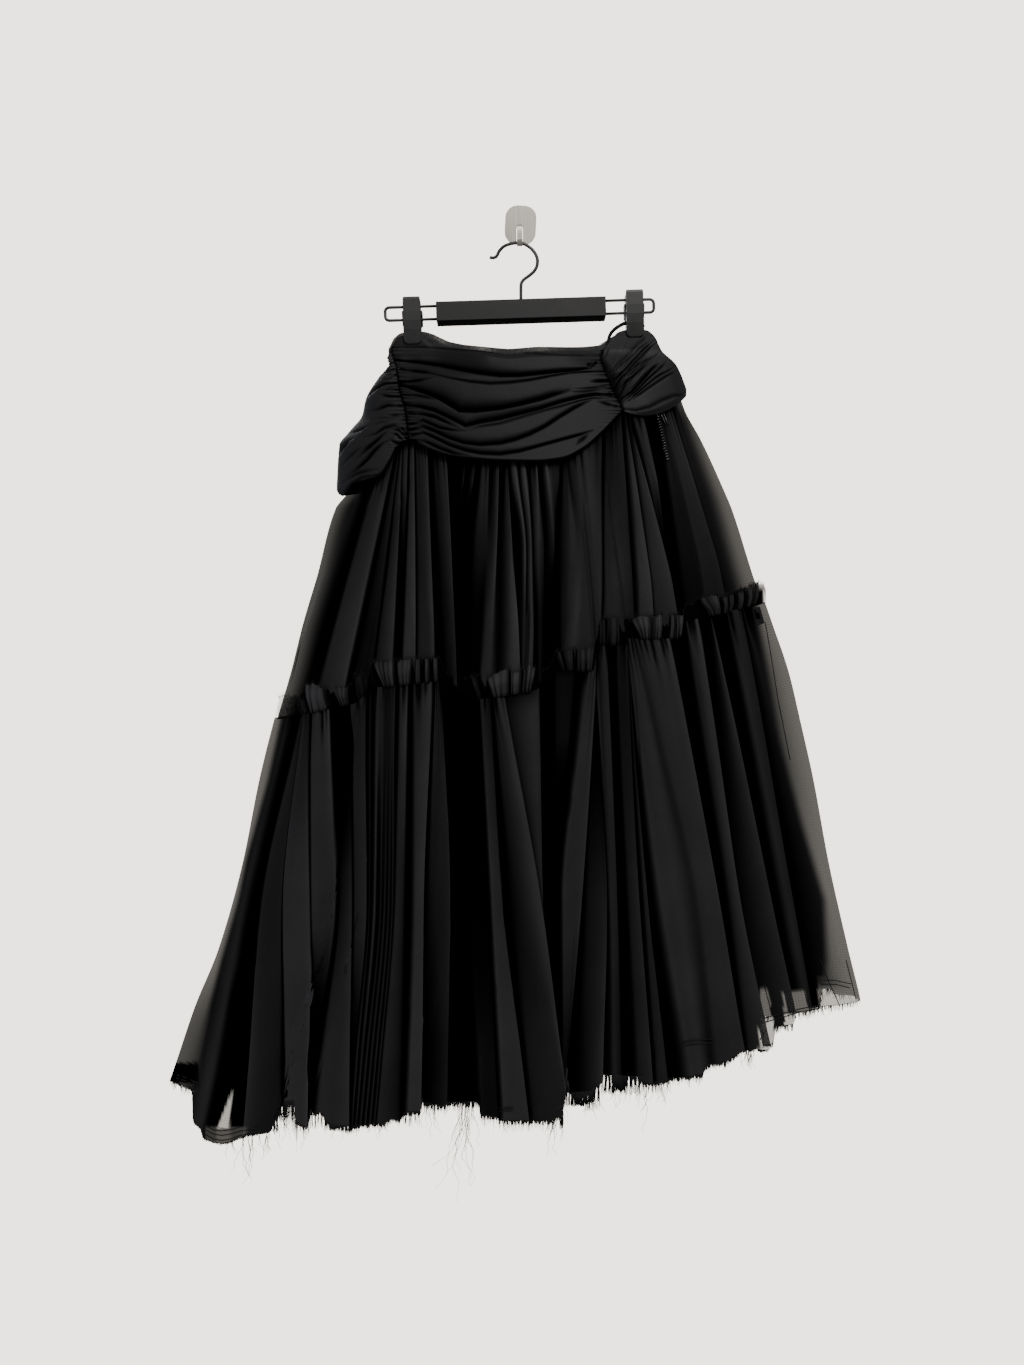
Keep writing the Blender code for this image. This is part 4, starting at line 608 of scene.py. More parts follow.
def height_on_edge(form, edge, share):
    """Where an edge that is listed across the form crosses it at a share of its width."""
    height = np.full(np.shape(share), edge["height"].mean())
    for _ in range(14):
        x = mix(*sides_of(form, height), share)
        height = mix(height, read(edge, "across", x, "height"), 0.7)
    return height


def stitch_height(share):
    """The front's stitching between the tiers, a step for each group of the ruffle."""
    places = np.stack((GROUPS["start"], GROUPS["end"]), axis=1).ravel()
    values = np.stack((GROUPS["stitch_start"], GROUPS["stitch_end"]), axis=1).ravel()
    ends = (SIDE_STITCH_LEFT, *values, SIDE_STITCH_RIGHT)
    return np.interp(share * 100, (0.0, *places, 100.0), ends)


def stitch_height_back(share):
    """The back's stitching, which sags a little between the side seams."""
    return mix(SIDE_STITCH_LEFT, SIDE_STITCH_RIGHT, share) - 10 * np.sin(math.pi * share)


def swell(share):
    """How far the front stands out at each group of the ruffle, and in between the groups."""
    start, end = GROUPS["start"], GROUPS["end"]
    flat = np.zeros(len(start))
    places = np.concatenate(([0.0, 100.0], start, (start + end) / 2, end, (end[:-1] + start[1:]) / 2))
    values = np.concatenate(([0.0, 0.0], flat, GROUPS["push"], flat, -GROUPS["dip"][:-1]))
    return smooth(places, values, share * 100)


def bumps(seed, count):
    """A smooth random curve over 0 to 1 with about count knots, uneven in place and height."""
    rng = np.random.default_rng(seed)
    knots = np.linspace(0, 1, count) + rng.uniform(-0.35, 0.35, count) / count
    values = np.abs(rng.uniform(-1.0, 1.0, count))
    values[1::2] = -values[1::2]
    return lambda at: smooth(knots, values, at)


def linked(name, mesh, material):
    """A smooth object of a mesh, with its material, in the scene."""
    mesh.shade_smooth()
    mesh.materials.append(material)
    made = bpy.data.objects.new(name, mesh)
    bpy.context.scene.collection.objects.link(made)
    return made


def flat_uv(points):
    """Lengths along the cloth, across and down, in metres."""
    across = np.linalg.norm(np.diff(points, axis=1), axis=-1).mean(axis=0)
    down = np.linalg.norm(np.diff(points, axis=0), axis=-1).mean(axis=1)
    u = np.concatenate(([0.0], np.cumsum(across)))[None, :]
    v = np.concatenate(([0.0], np.cumsum(down)))[:, None]
    return u, v


def cloth_object(name, points, material, shade=None, cover=1.0, flip=False):
    """A sheet from a grid of points; woven cloth has its painted shade, its cover and a UV map in metres."""
    rows, columns = points.shape[:2]
    index = np.arange(rows * columns).reshape(rows, columns)
    quads = np.stack((index[:-1, :-1], index[1:, :-1], index[1:, 1:], index[:-1, 1:]), -1).reshape(-1, 4)
    if flip:
        quads = quads[:, ::-1]
    mesh = bpy.data.meshes.new(name)
    mesh.from_pydata(points.reshape(-1, 3).tolist(), [], quads.tolist())
    if shade is not None:
        for key, values in (("shade", shade), ("cover", cover)):
            values = np.broadcast_to(values, (rows, columns)).astype(np.float32).ravel()
            mesh.attributes.new(key, "FLOAT", "POINT").data.foreach_set("value", values)
        layer = mesh.uv_layers.new(name="cloth")
        vertices = np.empty(len(mesh.loops), np.int32)
        mesh.loops.foreach_get("vertex_index", vertices)
        flat = np.stack([np.broadcast_to(c, (rows, columns)).ravel() for c in flat_uv(points)], -1)
        layer.data.foreach_set("uv", flat[vertices].astype(np.float32).ravel())
    return linked(name, mesh, material)


def tubes(name, middle, radius, material, taper=0.6):
    """Three-sided threads along the given paths, all in one mesh."""
    count, stations = middle.shape[:2]
    ways = unit(np.gradient(middle, axis=1))
    side = unit(np.cross(ways, (0.0, 1.0, 0.0)))
    third = np.cross(ways, side)
    t = np.linspace(0, 1, stations)[None, :, None]
    thick = radius[:, None, None] * (1 - taper * t)
    corners = []
    for corner in range(3):
        turn = 2 * math.pi * corner / 3
        corners.append(middle + (side * math.cos(turn) + third * math.sin(turn)) * thick)
    points = np.stack(corners, axis=2).reshape(-1, 3)
    walls = []
    for k in range(stations - 1):
        for corner in range(3):
            a, b = 3 * k + corner, 3 * k + (corner + 1) % 3
            walls.append((a, b, b + 3, a + 3))
    last = 3 * (stations - 1)
    caps = ((2, 1, 0), (last, last + 1, last + 2))
    first = np.arange(count)[:, None] * 3 * stations
    faces = []
    for pattern in (walls, caps):
        faces += np.concatenate([first + np.array(face) for face in pattern]).tolist()
    mesh = bpy.data.meshes.new(name)
    mesh.from_pydata(points.tolist(), [], faces)
    return linked(name, mesh, material)


class Nodes:
    """Short calls for building a material's nodes."""

    def __init__(self, name):
        self.material = bpy.data.materials.new(name)
        self.material.use_nodes = True
        self.tree = self.material.node_tree
        self.shader = self.tree.nodes["Principled BSDF"]

    def feed(self, socket, value):
        """Links an output to an input, or sets the input's value."""
        if isinstance(value, bpy.types.NodeSocket):
            self.tree.links.new(value, socket)
        else:
            socket.default_value = value

    def fill(self, node, inputs):
        for key, value in dict(inputs).items():
            self.feed(node.inputs[key], value)

    def surface(self, inputs):
        """Inputs of the material's own shader."""
        self.fill(self.shader, inputs)

    def add(self, kind, inputs=(), **settings):
        node = self.tree.nodes.new(kind)
        for key, value in settings.items():
            setattr(node, key, value)
        self.fill(node, inputs)
        return node

    def maths(self, operation, *values):
        node = self.add("ShaderNodeMath", operation=operation)
        for socket, value in zip(node.inputs, values):
            self.feed(socket, value)
        return node.outputs[0]

    def attribute(self, name):
        return self.add("ShaderNodeAttribute", attribute_name=name).outputs["Fac"]

    def where(self):
        """Places on the object, in metres."""
        return self.add("ShaderNodeTexCoord").outputs["Object"]

    def noise(self, where, scale, detail, roughness=0.5):
        inputs = {"Vector": where, "Scale": scale, "Detail": detail, "Roughness": roughness}
        return self.add("ShaderNodeTexNoise", inputs).outputs["Fac"]

    def ramp(self, value, *stops):
        """A value between the first two stops, moved to between the last two."""
        names = ("From Min", "From Max", "To Min", "To Max")
        return self.add("ShaderNodeMapRange", {"Value": value, **dict(zip(names, stops))}).outputs[0]

    def bump(self, strength, distance, height):
        """A bump on the surface, over those that are there already."""
        node = self.add("ShaderNodeBump", {"Strength": strength, "Distance": distance, "Height": height})
        normal = self.shader.inputs["Normal"]
        if normal.is_linked:
            self.feed(node.inputs["Normal"], normal.links[0].from_socket)
        self.feed(normal, node.outputs["Normal"])


def cloth_material(name, lit, roughness, sheen, crinkle):
    """Fine black cloth with painted shade in its valleys, on its colour, gloss and sheen; crinkled, woven,
    and sheer where it is single.
    """
    n = Nodes(name)
    uv = n.add("ShaderNodeUVMap", uv_map="cloth").outputs["UV"]
    apart = n.add("ShaderNodeSeparateXYZ", {"Vector": uv})
    blotch, grain, wander = n.noise(uv, 18.0, 3.0), n.noise(uv, 900.0, 2.0), n.noise(uv, 9.0, 1.0)
    shade, cover = n.attribute("shade"), n.attribute("cover")
    dye_and_shade = n.maths("MULTIPLY", n.ramp(blotch, 0.3, 0.7, 0.86, 1.12), n.ramp(grain, 0.3, 0.7, 0.85, 1.15))
    # painted shade: the shade attribute darkens the uneven dye in the valleys and creases
    dye_and_shade = n.maths("MULTIPLY", dye_and_shade, shade)
    colour = n.add("ShaderNodeMix", {"Factor": dye_and_shade}, data_type="RGBA", clamp_factor=False)
    colour.inputs[6].default_value = (0.0, 0.0, 0.0, 1.0)
    colour.inputs[7].default_value = (*lit, 1.0)

    def bands(way, pace, shift):
        """Fine bands across one way of the cloth, which wander."""
        turn = n.maths("MULTIPLY", apart.outputs[way], pace)
        return n.maths("SINE", n.maths("ADD", turn, n.maths("MULTIPLY", wander, shift)))

    moire = n.maths("MULTIPLY", n.maths("ADD", bands("X", 2600.0, 60.0), bands("Y", 2300.0, -45.0)), 0.09)
    loose = n.maths("MULTIPLY", n.maths("SUBTRACT", 1.0, cover), moire)
    # the shade attribute also dims the gloss and sheen: painted shade on the reflections
    n.surface(
        {
            "Base Color": colour.outputs[2],
            "Roughness": roughness,
            "Specular IOR Level": n.maths("MULTIPLY", shade, 0.22),
            "Sheen Weight": n.maths("MULTIPLY", shade, sheen),
            "Sheen Roughness": 0.45,
            "Sheen Tint": (0.75, 0.78, 0.85, 1.0),
            "Alpha": n.maths("ADD", cover, loose),
        }
    )
    n.bump(1.0, crinkle, n.noise(uv, 55.0, 4.0, 0.6))
    n.bump(0.6, 0.00012, grain)
    return n.material


def thread_material(name, lit, roughness=0.8, specular=0.1):
    """Plain dark thread or ribbon."""
    n = Nodes(name)
    n.surface({"Base Color": (*lit, 1.0), "Roughness": roughness, "Specular IOR Level": specular})
    return n.material


def mesh_material(name, lit, cover):
    """Fine net: dark threads with the wall seen between them."""
    n = Nodes(name)
    holes = n.noise(n.where(), 260.0, 2.0)
    sheer = n.ramp(holes, 0.35, 0.65, cover - 0.12, cover + 0.12)
    n.surface({"Base Color": (*lit, 1.0), "Roughness": 0.8, "Alpha": sheer})
    return n.material


def metal(name, colour, roughness):
    """Satin metal with fine upright brush marks."""
    n = Nodes(name)
    stretch = n.add("ShaderNodeMapping", {"Vector": n.where(), "Scale": (900.0, 900.0, 25.0)})
    marks = n.noise(stretch.outputs["Vector"], 1.0, 3.0)
    uneven = n.ramp(marks, 0.3, 0.7, roughness - 0.07, roughness + 0.1)
    n.surface({"Base Color": (*colour, 1.0), "Metallic": 1.0, "Roughness": uneven})
    n.bump(0.3, 0.00004, marks)
    return n.material


def plastic(name, colour, roughness, specular):
    """Plastic or coated wire with a fine grain and a little dust."""
    n = Nodes(name)
    grain, dust = n.noise(n.where(), 1400.0, 2.0), n.noise(n.where(), 60.0, 3.0)
    uneven = n.ramp(dust, 0.3, 0.7, roughness - 0.06, roughness + 0.08)
    n.surface({"Base Color": (*colour, 1.0), "Roughness": uneven, "Specular IOR Level": specular})
    n.bump(0.5, 0.00003, grain)
    return n.material


CHIFFON = cloth_material("chiffon_black", (0.0200, 0.0192, 0.0204), 0.72, 0.05, 0.0006)
YOKE_CLOTH = cloth_material("yoke_black", (0.0042, 0.0041, 0.0045), 0.62, 0.03, 0.0004)
THREAD = thread_material("thread_black", (0.012, 0.012, 0.013))
RIBBON = thread_material("ribbon_black", (0.008, 0.008, 0.009))
GLOSSY = thread_material("zip_black", (0.03, 0.03, 0.032), 0.3, 0.6)
NET = mesh_material("net_black", (0.012, 0.012, 0.013), 0.6)
STEEL = metal("steel_satin", (0.31, 0.29, 0.255), 0.36)
PLASTIC = plastic("plastic_black", (0.0120, 0.0116, 0.0108), 0.5, 0.26)
CLIP = plastic("clip_black", (0.0165, 0.0160, 0.0150), 0.48, 0.34)
WIRE = plastic("wire_black", (0.018, 0.018, 0.018), 0.36, 0.5)


# The tiers
def drift(share, down, seed, size):
    """Folds wander sideways a little on their way down, except at the side seams."""
    slow, quick = bumps(seed, 17)(share), bumps(seed + 1, 11)(share)
    return inside(share, 0.06) * size * (slow * np.sin(2.2 * down + 0.3) + quick * np.sin(4.1 * down + 1.0))


def line_values(heights, values, at):
    """Values listed at a few heights, read at others; they go on straight past the ends."""
    heights, values = heights[::-1], values[::-1]
    slopes = np.diff(values, axis=0) / np.diff(heights)[:, None]
    found = np.empty(at.shape)
    for k in range(values.shape[1]):
        h = at[:, k]
        low = slopes[0, k] * np.minimum(h - heights[0], 0)
        high = slopes[-1, k] * np.maximum(h - heights[-1], 0)
        found[:, k] = smooth(heights, values[:, k], h) + low + high
    return found


def blurred(values, reach):
    """Each row's running mean over a few columns to either side."""
    padded = np.pad(values, ((0, 0), (reach + 1, reach)), mode="edge")
    total = np.cumsum(padded, axis=1)
    return (total[:, 2 * reach + 1 :] - total[:, : -2 * reach - 1]) / (2 * reach + 1)


def edge_light(level, reach):
    """A painted highlight on fold edges that stand out from what is beside them, and painted shade where
    they sink below it.
    """
    usual, gain, least, most = 0.72, 0.075, 0.45, 1.35
    return np.clip(usual + gain * (level - blurred(level, reach)), least, most)


def lit_by_level(level):
    """Painted shade by how far a fold stands out: nearly black in the valleys, lightest on what stands out
    most.
    """
    darkest, rise, valley, height, contrast = 0.015, 0.985, 6.0, 15.0, 2.4
    return darkest + rise * np.clip((level + valley) / height, 0, 1) ** contrast


def halfway(first, last, out_first, out_last):
    """A straight fold line's place and height out at the first, middle and last row."""
    return first, (first + last) / 2, last, out_first, (out_first + out_last) / 2, out_last


def tier_front(name, lines, line_rows, rows, top, foot, out, back, size, seed, near_top, cover, under):
    """A tier's front from its fold lines, between its top and its foot.

    size is its rows and columns of points, near_top the depth of its gathers, and under the painted
    shadow just below its top: how light it is there, and how far down it is fully light.
    """
    full = [line if len(line) > 4 else halfway(*line) for line in lines]
    columns, levels = np.split(np.array(full).T, 2)
    heights, xs = seen_height(np.array(line_rows, float)), seen_x(columns)
    closer_at_ends = 0.12
    step = np.linspace(0, 1, size[0])[:, None]
    down = step - closer_at_ends * np.sin(2 * math.pi * step)
    share = np.broadcast_to(np.linspace(0.02, 0.98, xs.shape[1]), (size[0], xs.shape[1]))
    for _ in range(10):
        height = mix(top(share), foot(share), down)
        x = line_values(heights, xs, height)
        share = mix(share, share_at(FORM, x, height), 0.7)
    level = line_values(heights, levels, np.clip(height, heights[-1], heights[0]))
    # a narrow strip without folds along both side seams
    edge = np.zeros((size[0], 1))
    share = np.concatenate((edge, edge + 0.006, np.clip(share, 0.01, 0.99), edge + 0.994, edge + 1), axis=1)
    level = np.concatenate((edge, edge, level, edge, edge), axis=1)
    share = np.maximum.accumulate(share + np.arange(share.shape[1]) * 1e-6, axis=1)
    # the columns of points lie evenly along the folded cloth, halfway down
    middle_row, width, fold_weight, least_run = size[0] // 2, 640, 0.9, 0.5
    run = np.hypot(np.diff(share[middle_row]) * width, np.diff(level[middle_row]) * fold_weight) + least_run
    q = evenly(run, np.arange(len(run) + 1), size[1])
    at, deep = between(share, q), between(level, q)
    s = at[middle_row][None, :]
    sides = inside(at, 0.03)
    at = at + drift(s, down, seed, 0.0022)
    upper = top(at)
    height = mix(upper, foot(at), down)
    from_top = upper - height
    # gathers below the seam, the finer ones nearer to it, with painted shade in the darts between them
    fine, finer = bumps(seed + 5, 150)(s), bumps(seed + 6, 290)(s)
    gathers = sides * near_top * (fine * np.exp(-from_top / 50) + 0.7 * finer * np.exp(-from_top / 18))
    dart_shade = 1.8 * np.clip(-fine, 0, 1) * np.exp(-((from_top / 30) ** 1.5))
    dart_shade = dart_shade + 2.2 * np.clip(-finer, 0, 1) * np.exp(-((from_top / 15) ** 1.5))
    waves = bumps(seed + 8, 70)(np.clip(s + 0.01 * np.sin(5 * down), 0, 1))
    ripple = sides * 0.7 * waves * np.sin(3 * down + 9 * s)
    growth = read(rows, "down", down, "folds")
    push = out + deep * growth + swell(at) * read(rows, "down", down, "swell") + gathers + ripple
    x, depth = push_out(FORM, at, height, back, push)
    lean = 0.35
    x = x + lean * deep * growth * sides
    points = place(x, height, depth)
    opaque, dark = cover(x, height, at)
    # painted shade: a shadow just below the top, darker valleys and painted highlights on fold edges by
    # level, the darts, and the cover function's shade
    least_light, reach = under
    below_top = mix(least_light, 1.0, ease((from_top + 1.6 * deep) / reach))
    shade = lit_by_level(deep) * edge_light(deep, 10)
    shade = shade * (1 - 0.9 * np.clip(dart_shade, 0, 1)) * below_top * dark
    return cloth_object(name, points, CHIFFON, shade, opaque), points, (x, height, depth)


def upper_cover_and_shade(x, height, share):
    """Opacity of the upper tier, sheer beside the side seams where one ply shows, and painted shade that
    darkens it towards the right.
    """
    edge = read_straight(UPPER_SHEER_RIGHT, "row", row_of(height), "column")
    right = ease((edge + 12 - column_of(x)) / 20)
    # painted shade: darker towards the right side
    dark = 1 - 0.22 * after(column_of(x), 670, 50)
    return mix(0.88, 1.0, ease(share / 0.05)) * mix(0.82, 1.0, right), dark


def lower_cover_and_shade(x, height, share):
    """Opacity of the lower tier, sheer at the sides and along the right hem, and its painted shade."""
    rows, columns = row_of(height), column_of(x)
    left = ease((columns - read_straight(LOWER_SHEER_LEFT, "row", rows, "column") + 4) / 7)
    right = ease((read_straight(LOWER_SHEER_RIGHT, "row", rows, "column") + 6 - columns) / 10)
    thinnest = 0.79 + 0.09 * after(rows, 960, 70) * before(columns, 300, 40)
    opaque = mix(thinnest, 1.0, np.minimum(left, right))
    # the turned band at the left end of the hem: opaque, and nearly black with painted shade
    left_end = before(columns, 201, 3)
    band = after(rows, 1060, 3) * left_end * before(rows, 1085, 2)
    corner = after(rows, 1079, 2) * left_end
    opaque = np.maximum(opaque, np.maximum(band, 0.9 * corner))
    # the thin turned edge along the right of the hem, below its doubled cloth
    double = read_straight(HEM_DOUBLE, "column", columns - 0.13 * (rows - 1010), "row")
    thin = after(columns, 759, 2) * ease((rows - double) / 4)
    fold = after(rows, 1126, 2) * before(columns, 250, 8) * after(columns, 204, 3)
    fold = fold * (1 + after(columns, 215, 3) * before(columns, 232, 3))
    opaque = np.minimum(opaque, 1 - np.maximum(0.2 * thin, 0.016 * fold))
    # the narrow see-through slit between two plies near the left of the hem
    below = rows - 1086
    middle, half = 233.4 - below * 0.245, below * 0.155
    slit = ease(below / 2) * ease((half - np.abs(columns - middle)) / 1.5) * before(rows, 1129, 2)
    # painted shade: nearly black on the turned band, and darker towards the right side
    return opaque * (1 - 0.17 * slit), (1 - 0.95 * band) * (1 - 0.15 * after(columns, 700, 60))


def back_folds(count, depth, phase):
    """Even folds for a plain back: how far each place across it stands in."""
    points = [(0.0, 0.0), (0.008, 0.0)]
    for k in range(count):
        crest = (k + 0.5 + 0.18 * math.sin(2.4 * k + phase)) / count
        half = (0.19 + 0.05 * math.sin(1.7 * k + phase)) / count
        rise = depth * (0.8 + 0.2 * math.sin(3.1 * k + phase))
        points += [(crest - half, 0.1 * rise), (crest, 0.0), (crest + half, 0.1 * rise)]
        if k + 1 < count:
            points.append(((k + 1 + 0.1 * math.sin(1.3 * k)) / count, rise))
    places, levels = np.array(points + [(0.992, 0.0), (1.0, 0.0)]).T
    return lambda share: smooth(places, levels, share)


def tier_back(name, profile, top, foot, growth, out, depth, size, seed):
    """A tier's back, whose folds grow from the first share at its top to the second at its foot."""
    width, fold_weight, dense = 700.0, 1.2, np.linspace(0, 1, 6000)
    run = np.hypot(np.diff(dense) * width, np.diff(profile(dense)) * fold_weight)
    s = evenly(run, dense, size[1])[None, :]
    down = np.linspace(0, 1, size[0])[:, None]
    at = s + drift(s, down, seed, 0.005)
    upper = top(at)
    height = mix(upper, foot(at), down)
    left, right = sides_of(FORM, height)
    x = mix(left - out, right + out, at)
    reach = profile(s) * mix(*growth, down)
    fine = 1.2 * inside(s, 0.03) * (0.5 + 0.5 * bumps(seed + 4, 120)(s)) * np.exp(-(upper - height) / 60)
    points = place(x, height, depth + reach + fine)
    # painted shade: darker the deeper into a fold
    shade = np.clip(0.95 - 0.035 * reach, 0.35, 1.0)
    single = ease(np.minimum(at / 0.05, (1.0 - at) / 0.07))
    single = np.minimum(single, 1 - after(column_of(x), 758, 3) * after(row_of(height), 984, 8))
    return cloth_object(name, points, CHIFFON, shade, mix(0.79, 1.0, single), flip=True), points


HEM_HEIGHTS = seen_height(HEM_FRONT["row"])
HEM_SHARES = share_at(FORM, seen_x(HEM_FRONT["column"]), HEM_HEIGHTS)
HEM_SHARES = np.maximum.accumulate(HEM_SHARES + np.arange(len(HEM_SHARES)) * 1e-6)

upper_front, _, upper_seen = tier_front(
    "upper_tier_front_cloth",
    UPPER_LINES,
    UPPER_LINE_ROWS,
    UPPER_ROWS,
    lambda share: height_on_edge(FORM, YOKE_FOOT_FRONT, share) + TUCK,
    lambda share: stitch_height(share) - TIER_OVERLAP,
    out=0.0,
    back=UPPER_SEAM_DEPTH,
    size=(80, 840),
    seed=10,
    near_top=1.3,
    cover=upper_cover_and_shade,
    under=(0.12, 30.0),
)
lower_front, lower_points, lower_seen = tier_front(
    "lower_tier_front_cloth",
    LOWER_LINES,
    LOWER_LINE_ROWS,
    LOWER_ROWS,
    stitch_height,
    lambda share: np.interp(share, HEM_SHARES, HEM_HEIGHTS),
    out=LOWER_OUT,
    back=LOWER_SEAM_DEPTH,
    size=(100, 990),
    seed=20,
    near_top=1.5,
    cover=lower_cover_and_shade,
    under=(0.4, 10.0),
)
upper_back, _ = tier_back(
    "upper_tier_back_cloth",
    back_folds(14, 12.0, 0.4),
    lambda share: height_on_edge(FORM, YOKE_FOOT_BACK, share) + TUCK,
    lambda share: stitch_height_back(share) - TIER_OVERLAP,
    growth=(0.1, 1.0),
    out=0.0,
    depth=UPPER_BACK_DEPTH,
    size=(60, 260),
    seed=30,
)
lower_back, lower_back_points = tier_back(
    "lower_tier_back_cloth",
    back_folds(20, 18.0, 1.1),
    stitch_height_back,
    lambda share: height_on_edge(FORM, HEM_BACK, share),
    growth=(0.0, 1.0),
    out=LOWER_OUT,
    depth=LOWER_BACK_DEPTH,
    size=(80, 340),
    seed=40,
)


# The header ruffle
def build_header_front():
    """The frayed ruffle that stands above the front's stitching."""
    rows, columns = 17, 1100
    top_x, top_height = seen_x(HEADER_LINES["column"]), seen_height(HEADER_LINES["row"])
    foot_x, level = seen_x(HEADER_LINES["foot"]), HEADER_LINES["out"]
    foot_height = stitch_height(share_at(FORM, foot_x, top_height - 25)) - 1.0
    up = np.linspace(1, 0, rows)[:, None]
    run = np.hypot(np.diff(top_x), 1.1 * np.diff(level)) + 0.5
    q = evenly(run, np.arange(len(level)), columns)
    x = between(mix(foot_x, top_x, ease(up * 0.9 + 0.05)), q)
    height = between(mix(foot_height, top_height, up), q)
    deep = between(np.broadcast_to(level, (rows, len(level))), q)
    s = (q / q[-1])[None, :]
    sides = inside(s, 0.01)
    ragged = 1.6 * bumps(52, 420)(s) * up**3 * sides
    frill = bumps(51, 380)(s) * sides
    share = share_at(FORM, x, height)
    belly = np.sin(math.pi * np.clip(up, 0, 1)) * 1.6
    folds = 0.62 * deep * mix(0.35, 1.0, ease(up * 1.6))
    stand = LOWER_OUT + 3.0 * up + belly + folds + 0.9 * frill * mix(0.5, 1.0, up)
    x, depth = push_out(FORM, share, height + ragged, LOWER_SEAM_DEPTH, stand + swell(share))
    points = place(x, height + ragged, depth)
    # painted shade: dark pockets between the frills, darker valleys and lighter folds by how far they stand
    # out, and darker near the stitching
    dart_shade = np.clip(-1.5 * frill, 0, 1) * mix(0.95, 0.4, ease(up * 1.4))
    shade = (0.03 + 1.15 * lit_by_level(deep + 1.2 * frill)) * (1 - dart_shade)
    shade = shade * mix(0.3, 1.0, ease(up * 5 + 0.05))
    beside = after(column_of(x), 298, 8) * before(column_of(x), 767, 5)
    cover = np.clip(1.05 - 0.3 * up**4, 0, 1) * mix(0.35, 1.0, beside)
    return cloth_object("header_front_cloth", points, CHIFFON, shade, cover), points


def build_header_back():
    """The plainer ruffle above the back's stitching."""
    s, up = grid(9, 420)
    waves = 26
    level = 0.5 - 0.5 * np.cos(2 * math.pi * waves * s)
    height = stitch_height_back(s) + SIDE_HEADER * up + 1.5 * bumps(61, 160)(s) * up
    left, right = sides_of(FORM, height)
    depth = LOWER_BACK_DEPTH - 2.4 * level * mix(0.2, 1.0, up)
    points = place(mix(left - LOWER_OUT, right + LOWER_OUT, s), height, depth)[::-1]
    # painted shade: darker in the valleys of the waves
    shade = (0.6 + 0.35 * level) * np.ones_like(up)
    cover = mix(0.25, 0.95, inside(s, 0.05))
    return cloth_object("header_back_cloth", points, CHIFFON, shade, cover, flip=True), points


header_front, header_points = build_header_front()
header_back, header_back_points = build_header_back()


# The yoke
def grip(x, height):
    """1 where a clip holds the cloth, fading beside it and below it."""
    held = np.zeros(np.broadcast(x, height).shape)
    for clip_x, clip_foot in CLIP_FEET:
        beside = ease((90 - np.abs(x - clip_x)) / 68)
        below = ease((height - clip_foot + 42) / 28)
        held = np.maximum(held, beside * below)
    return held


def yoke_panel(name, x, height, lift, shade):
    """A front panel of the yoke, lifted off the form and held in at the clips."""
    share = share_at(YOKE_FORM, x, height)
    x, depth = push_out(YOKE_FORM, share, height, YOKE_SEAM_DEPTH, lift)
    depth = mix(depth, np.minimum(depth, CLIP_DEPTH + 0.25 * lift), grip(x, height))
    return cloth_object(name, place(x, height, depth), YOKE_CLOTH, shade)


def seam_pull(across):
    """The cloth is drawn in at a seam on either side, and full between them."""
    return np.sin(math.pi * np.clip(across, 0.0, 1.0)) ** 0.5


def panel_grid(size, first_height):
    """Shares across and down a panel's grid of points, and a first guess at their heights."""
    return *grid(*size), np.full(size, first_height)


def shirring(x, height, beside, reach, pace, sway, slow, lean=0.0):
    """Small gathers that wander along a seam, and fade over a reach of millimetres beside it."""
    return np.sin(height * pace + sway * np.sin(height * slow) + lean * x) * np.exp(-beside / reach)


def lift_at_sides(x, height):
    """The front's lift off the form, which ends at the side seams."""
    share = share_at(YOKE_FORM, x, height)
    return YOKE_LIFT * np.minimum(1.0, np.minimum(share, 1 - share) / 0.04)


def creased(x, height, creases, seam, fade=26.0):
    """How far the creases draw the cloth in, in millimetres, at seen places; seam is 1 at a seam."""
    long_crease = 120
    notch = np.zeros(np.broadcast(x, height).shape)
    for depth, upward, downward, *points in creases:
        columns, rows = np.array(points, float).T
        xs, zs = seen_x(columns), seen_height(rows)
        nearest = np.full(notch.shape, 1e9)
        side, along = np.zeros(notch.shape), np.zeros(notch.shape)
        run = 0.0
        for k in range(len(xs) - 1):
            way_x, way_z = xs[k + 1] - xs[k], zs[k + 1] - zs[k]
            length = math.hypot(way_x, way_z)
            t = np.clip(((x - xs[k]) * way_x + (height - zs[k]) * way_z) / length**2, 0, 1)
            off_x, off_z = x - xs[k] - way_x * t, height - zs[k] - way_z * t
            far = np.hypot(off_x, off_z)
            closer = far < nearest
            nearest = np.where(closer, far, nearest)
            side = np.where(closer, off_z * way_x - off_x * way_z, side)
            along = np.where(closer, run + length * t, along)
            run += length
        ends = np.maximum(ease(np.minimum(along, run - along) / min(fade, run / 2.2)), seam)
        fullest = np.sin(math.pi * np.clip(along / run, 0, 1)) ** 0.8
        if run > long_crease:
            fullest = fullest * mix(1.0, 0.25, ease((along / run - 0.42) / 0.33))
        upper_reach = np.maximum(upward * mix(0.35, 1.0, fullest), 0.8)
        reach = np.where(side > 0, upper_reach, downward * mix(0.6, 1.0, fullest))
        # a thin black line and a soft dark band beside it, painted shade through yoke_shade, where the cloth
        # is also drawn in
        core = np.exp(-((nearest / np.minimum(reach, 1.3)) ** 1.35))
        soft = np.exp(-((nearest / reach) ** 1.6))
        notch = np.maximum(notch, depth * mix(0.2, 1.0, ends) * mix(core, soft, 0.6))
    return notch


def yoke_shade(notch, extra):
    """Painted shade on the yoke: darkest in its creases."""
    return np.clip(1.0 - 0.2 * notch + extra, 0.02, 1.1) ** 1.15


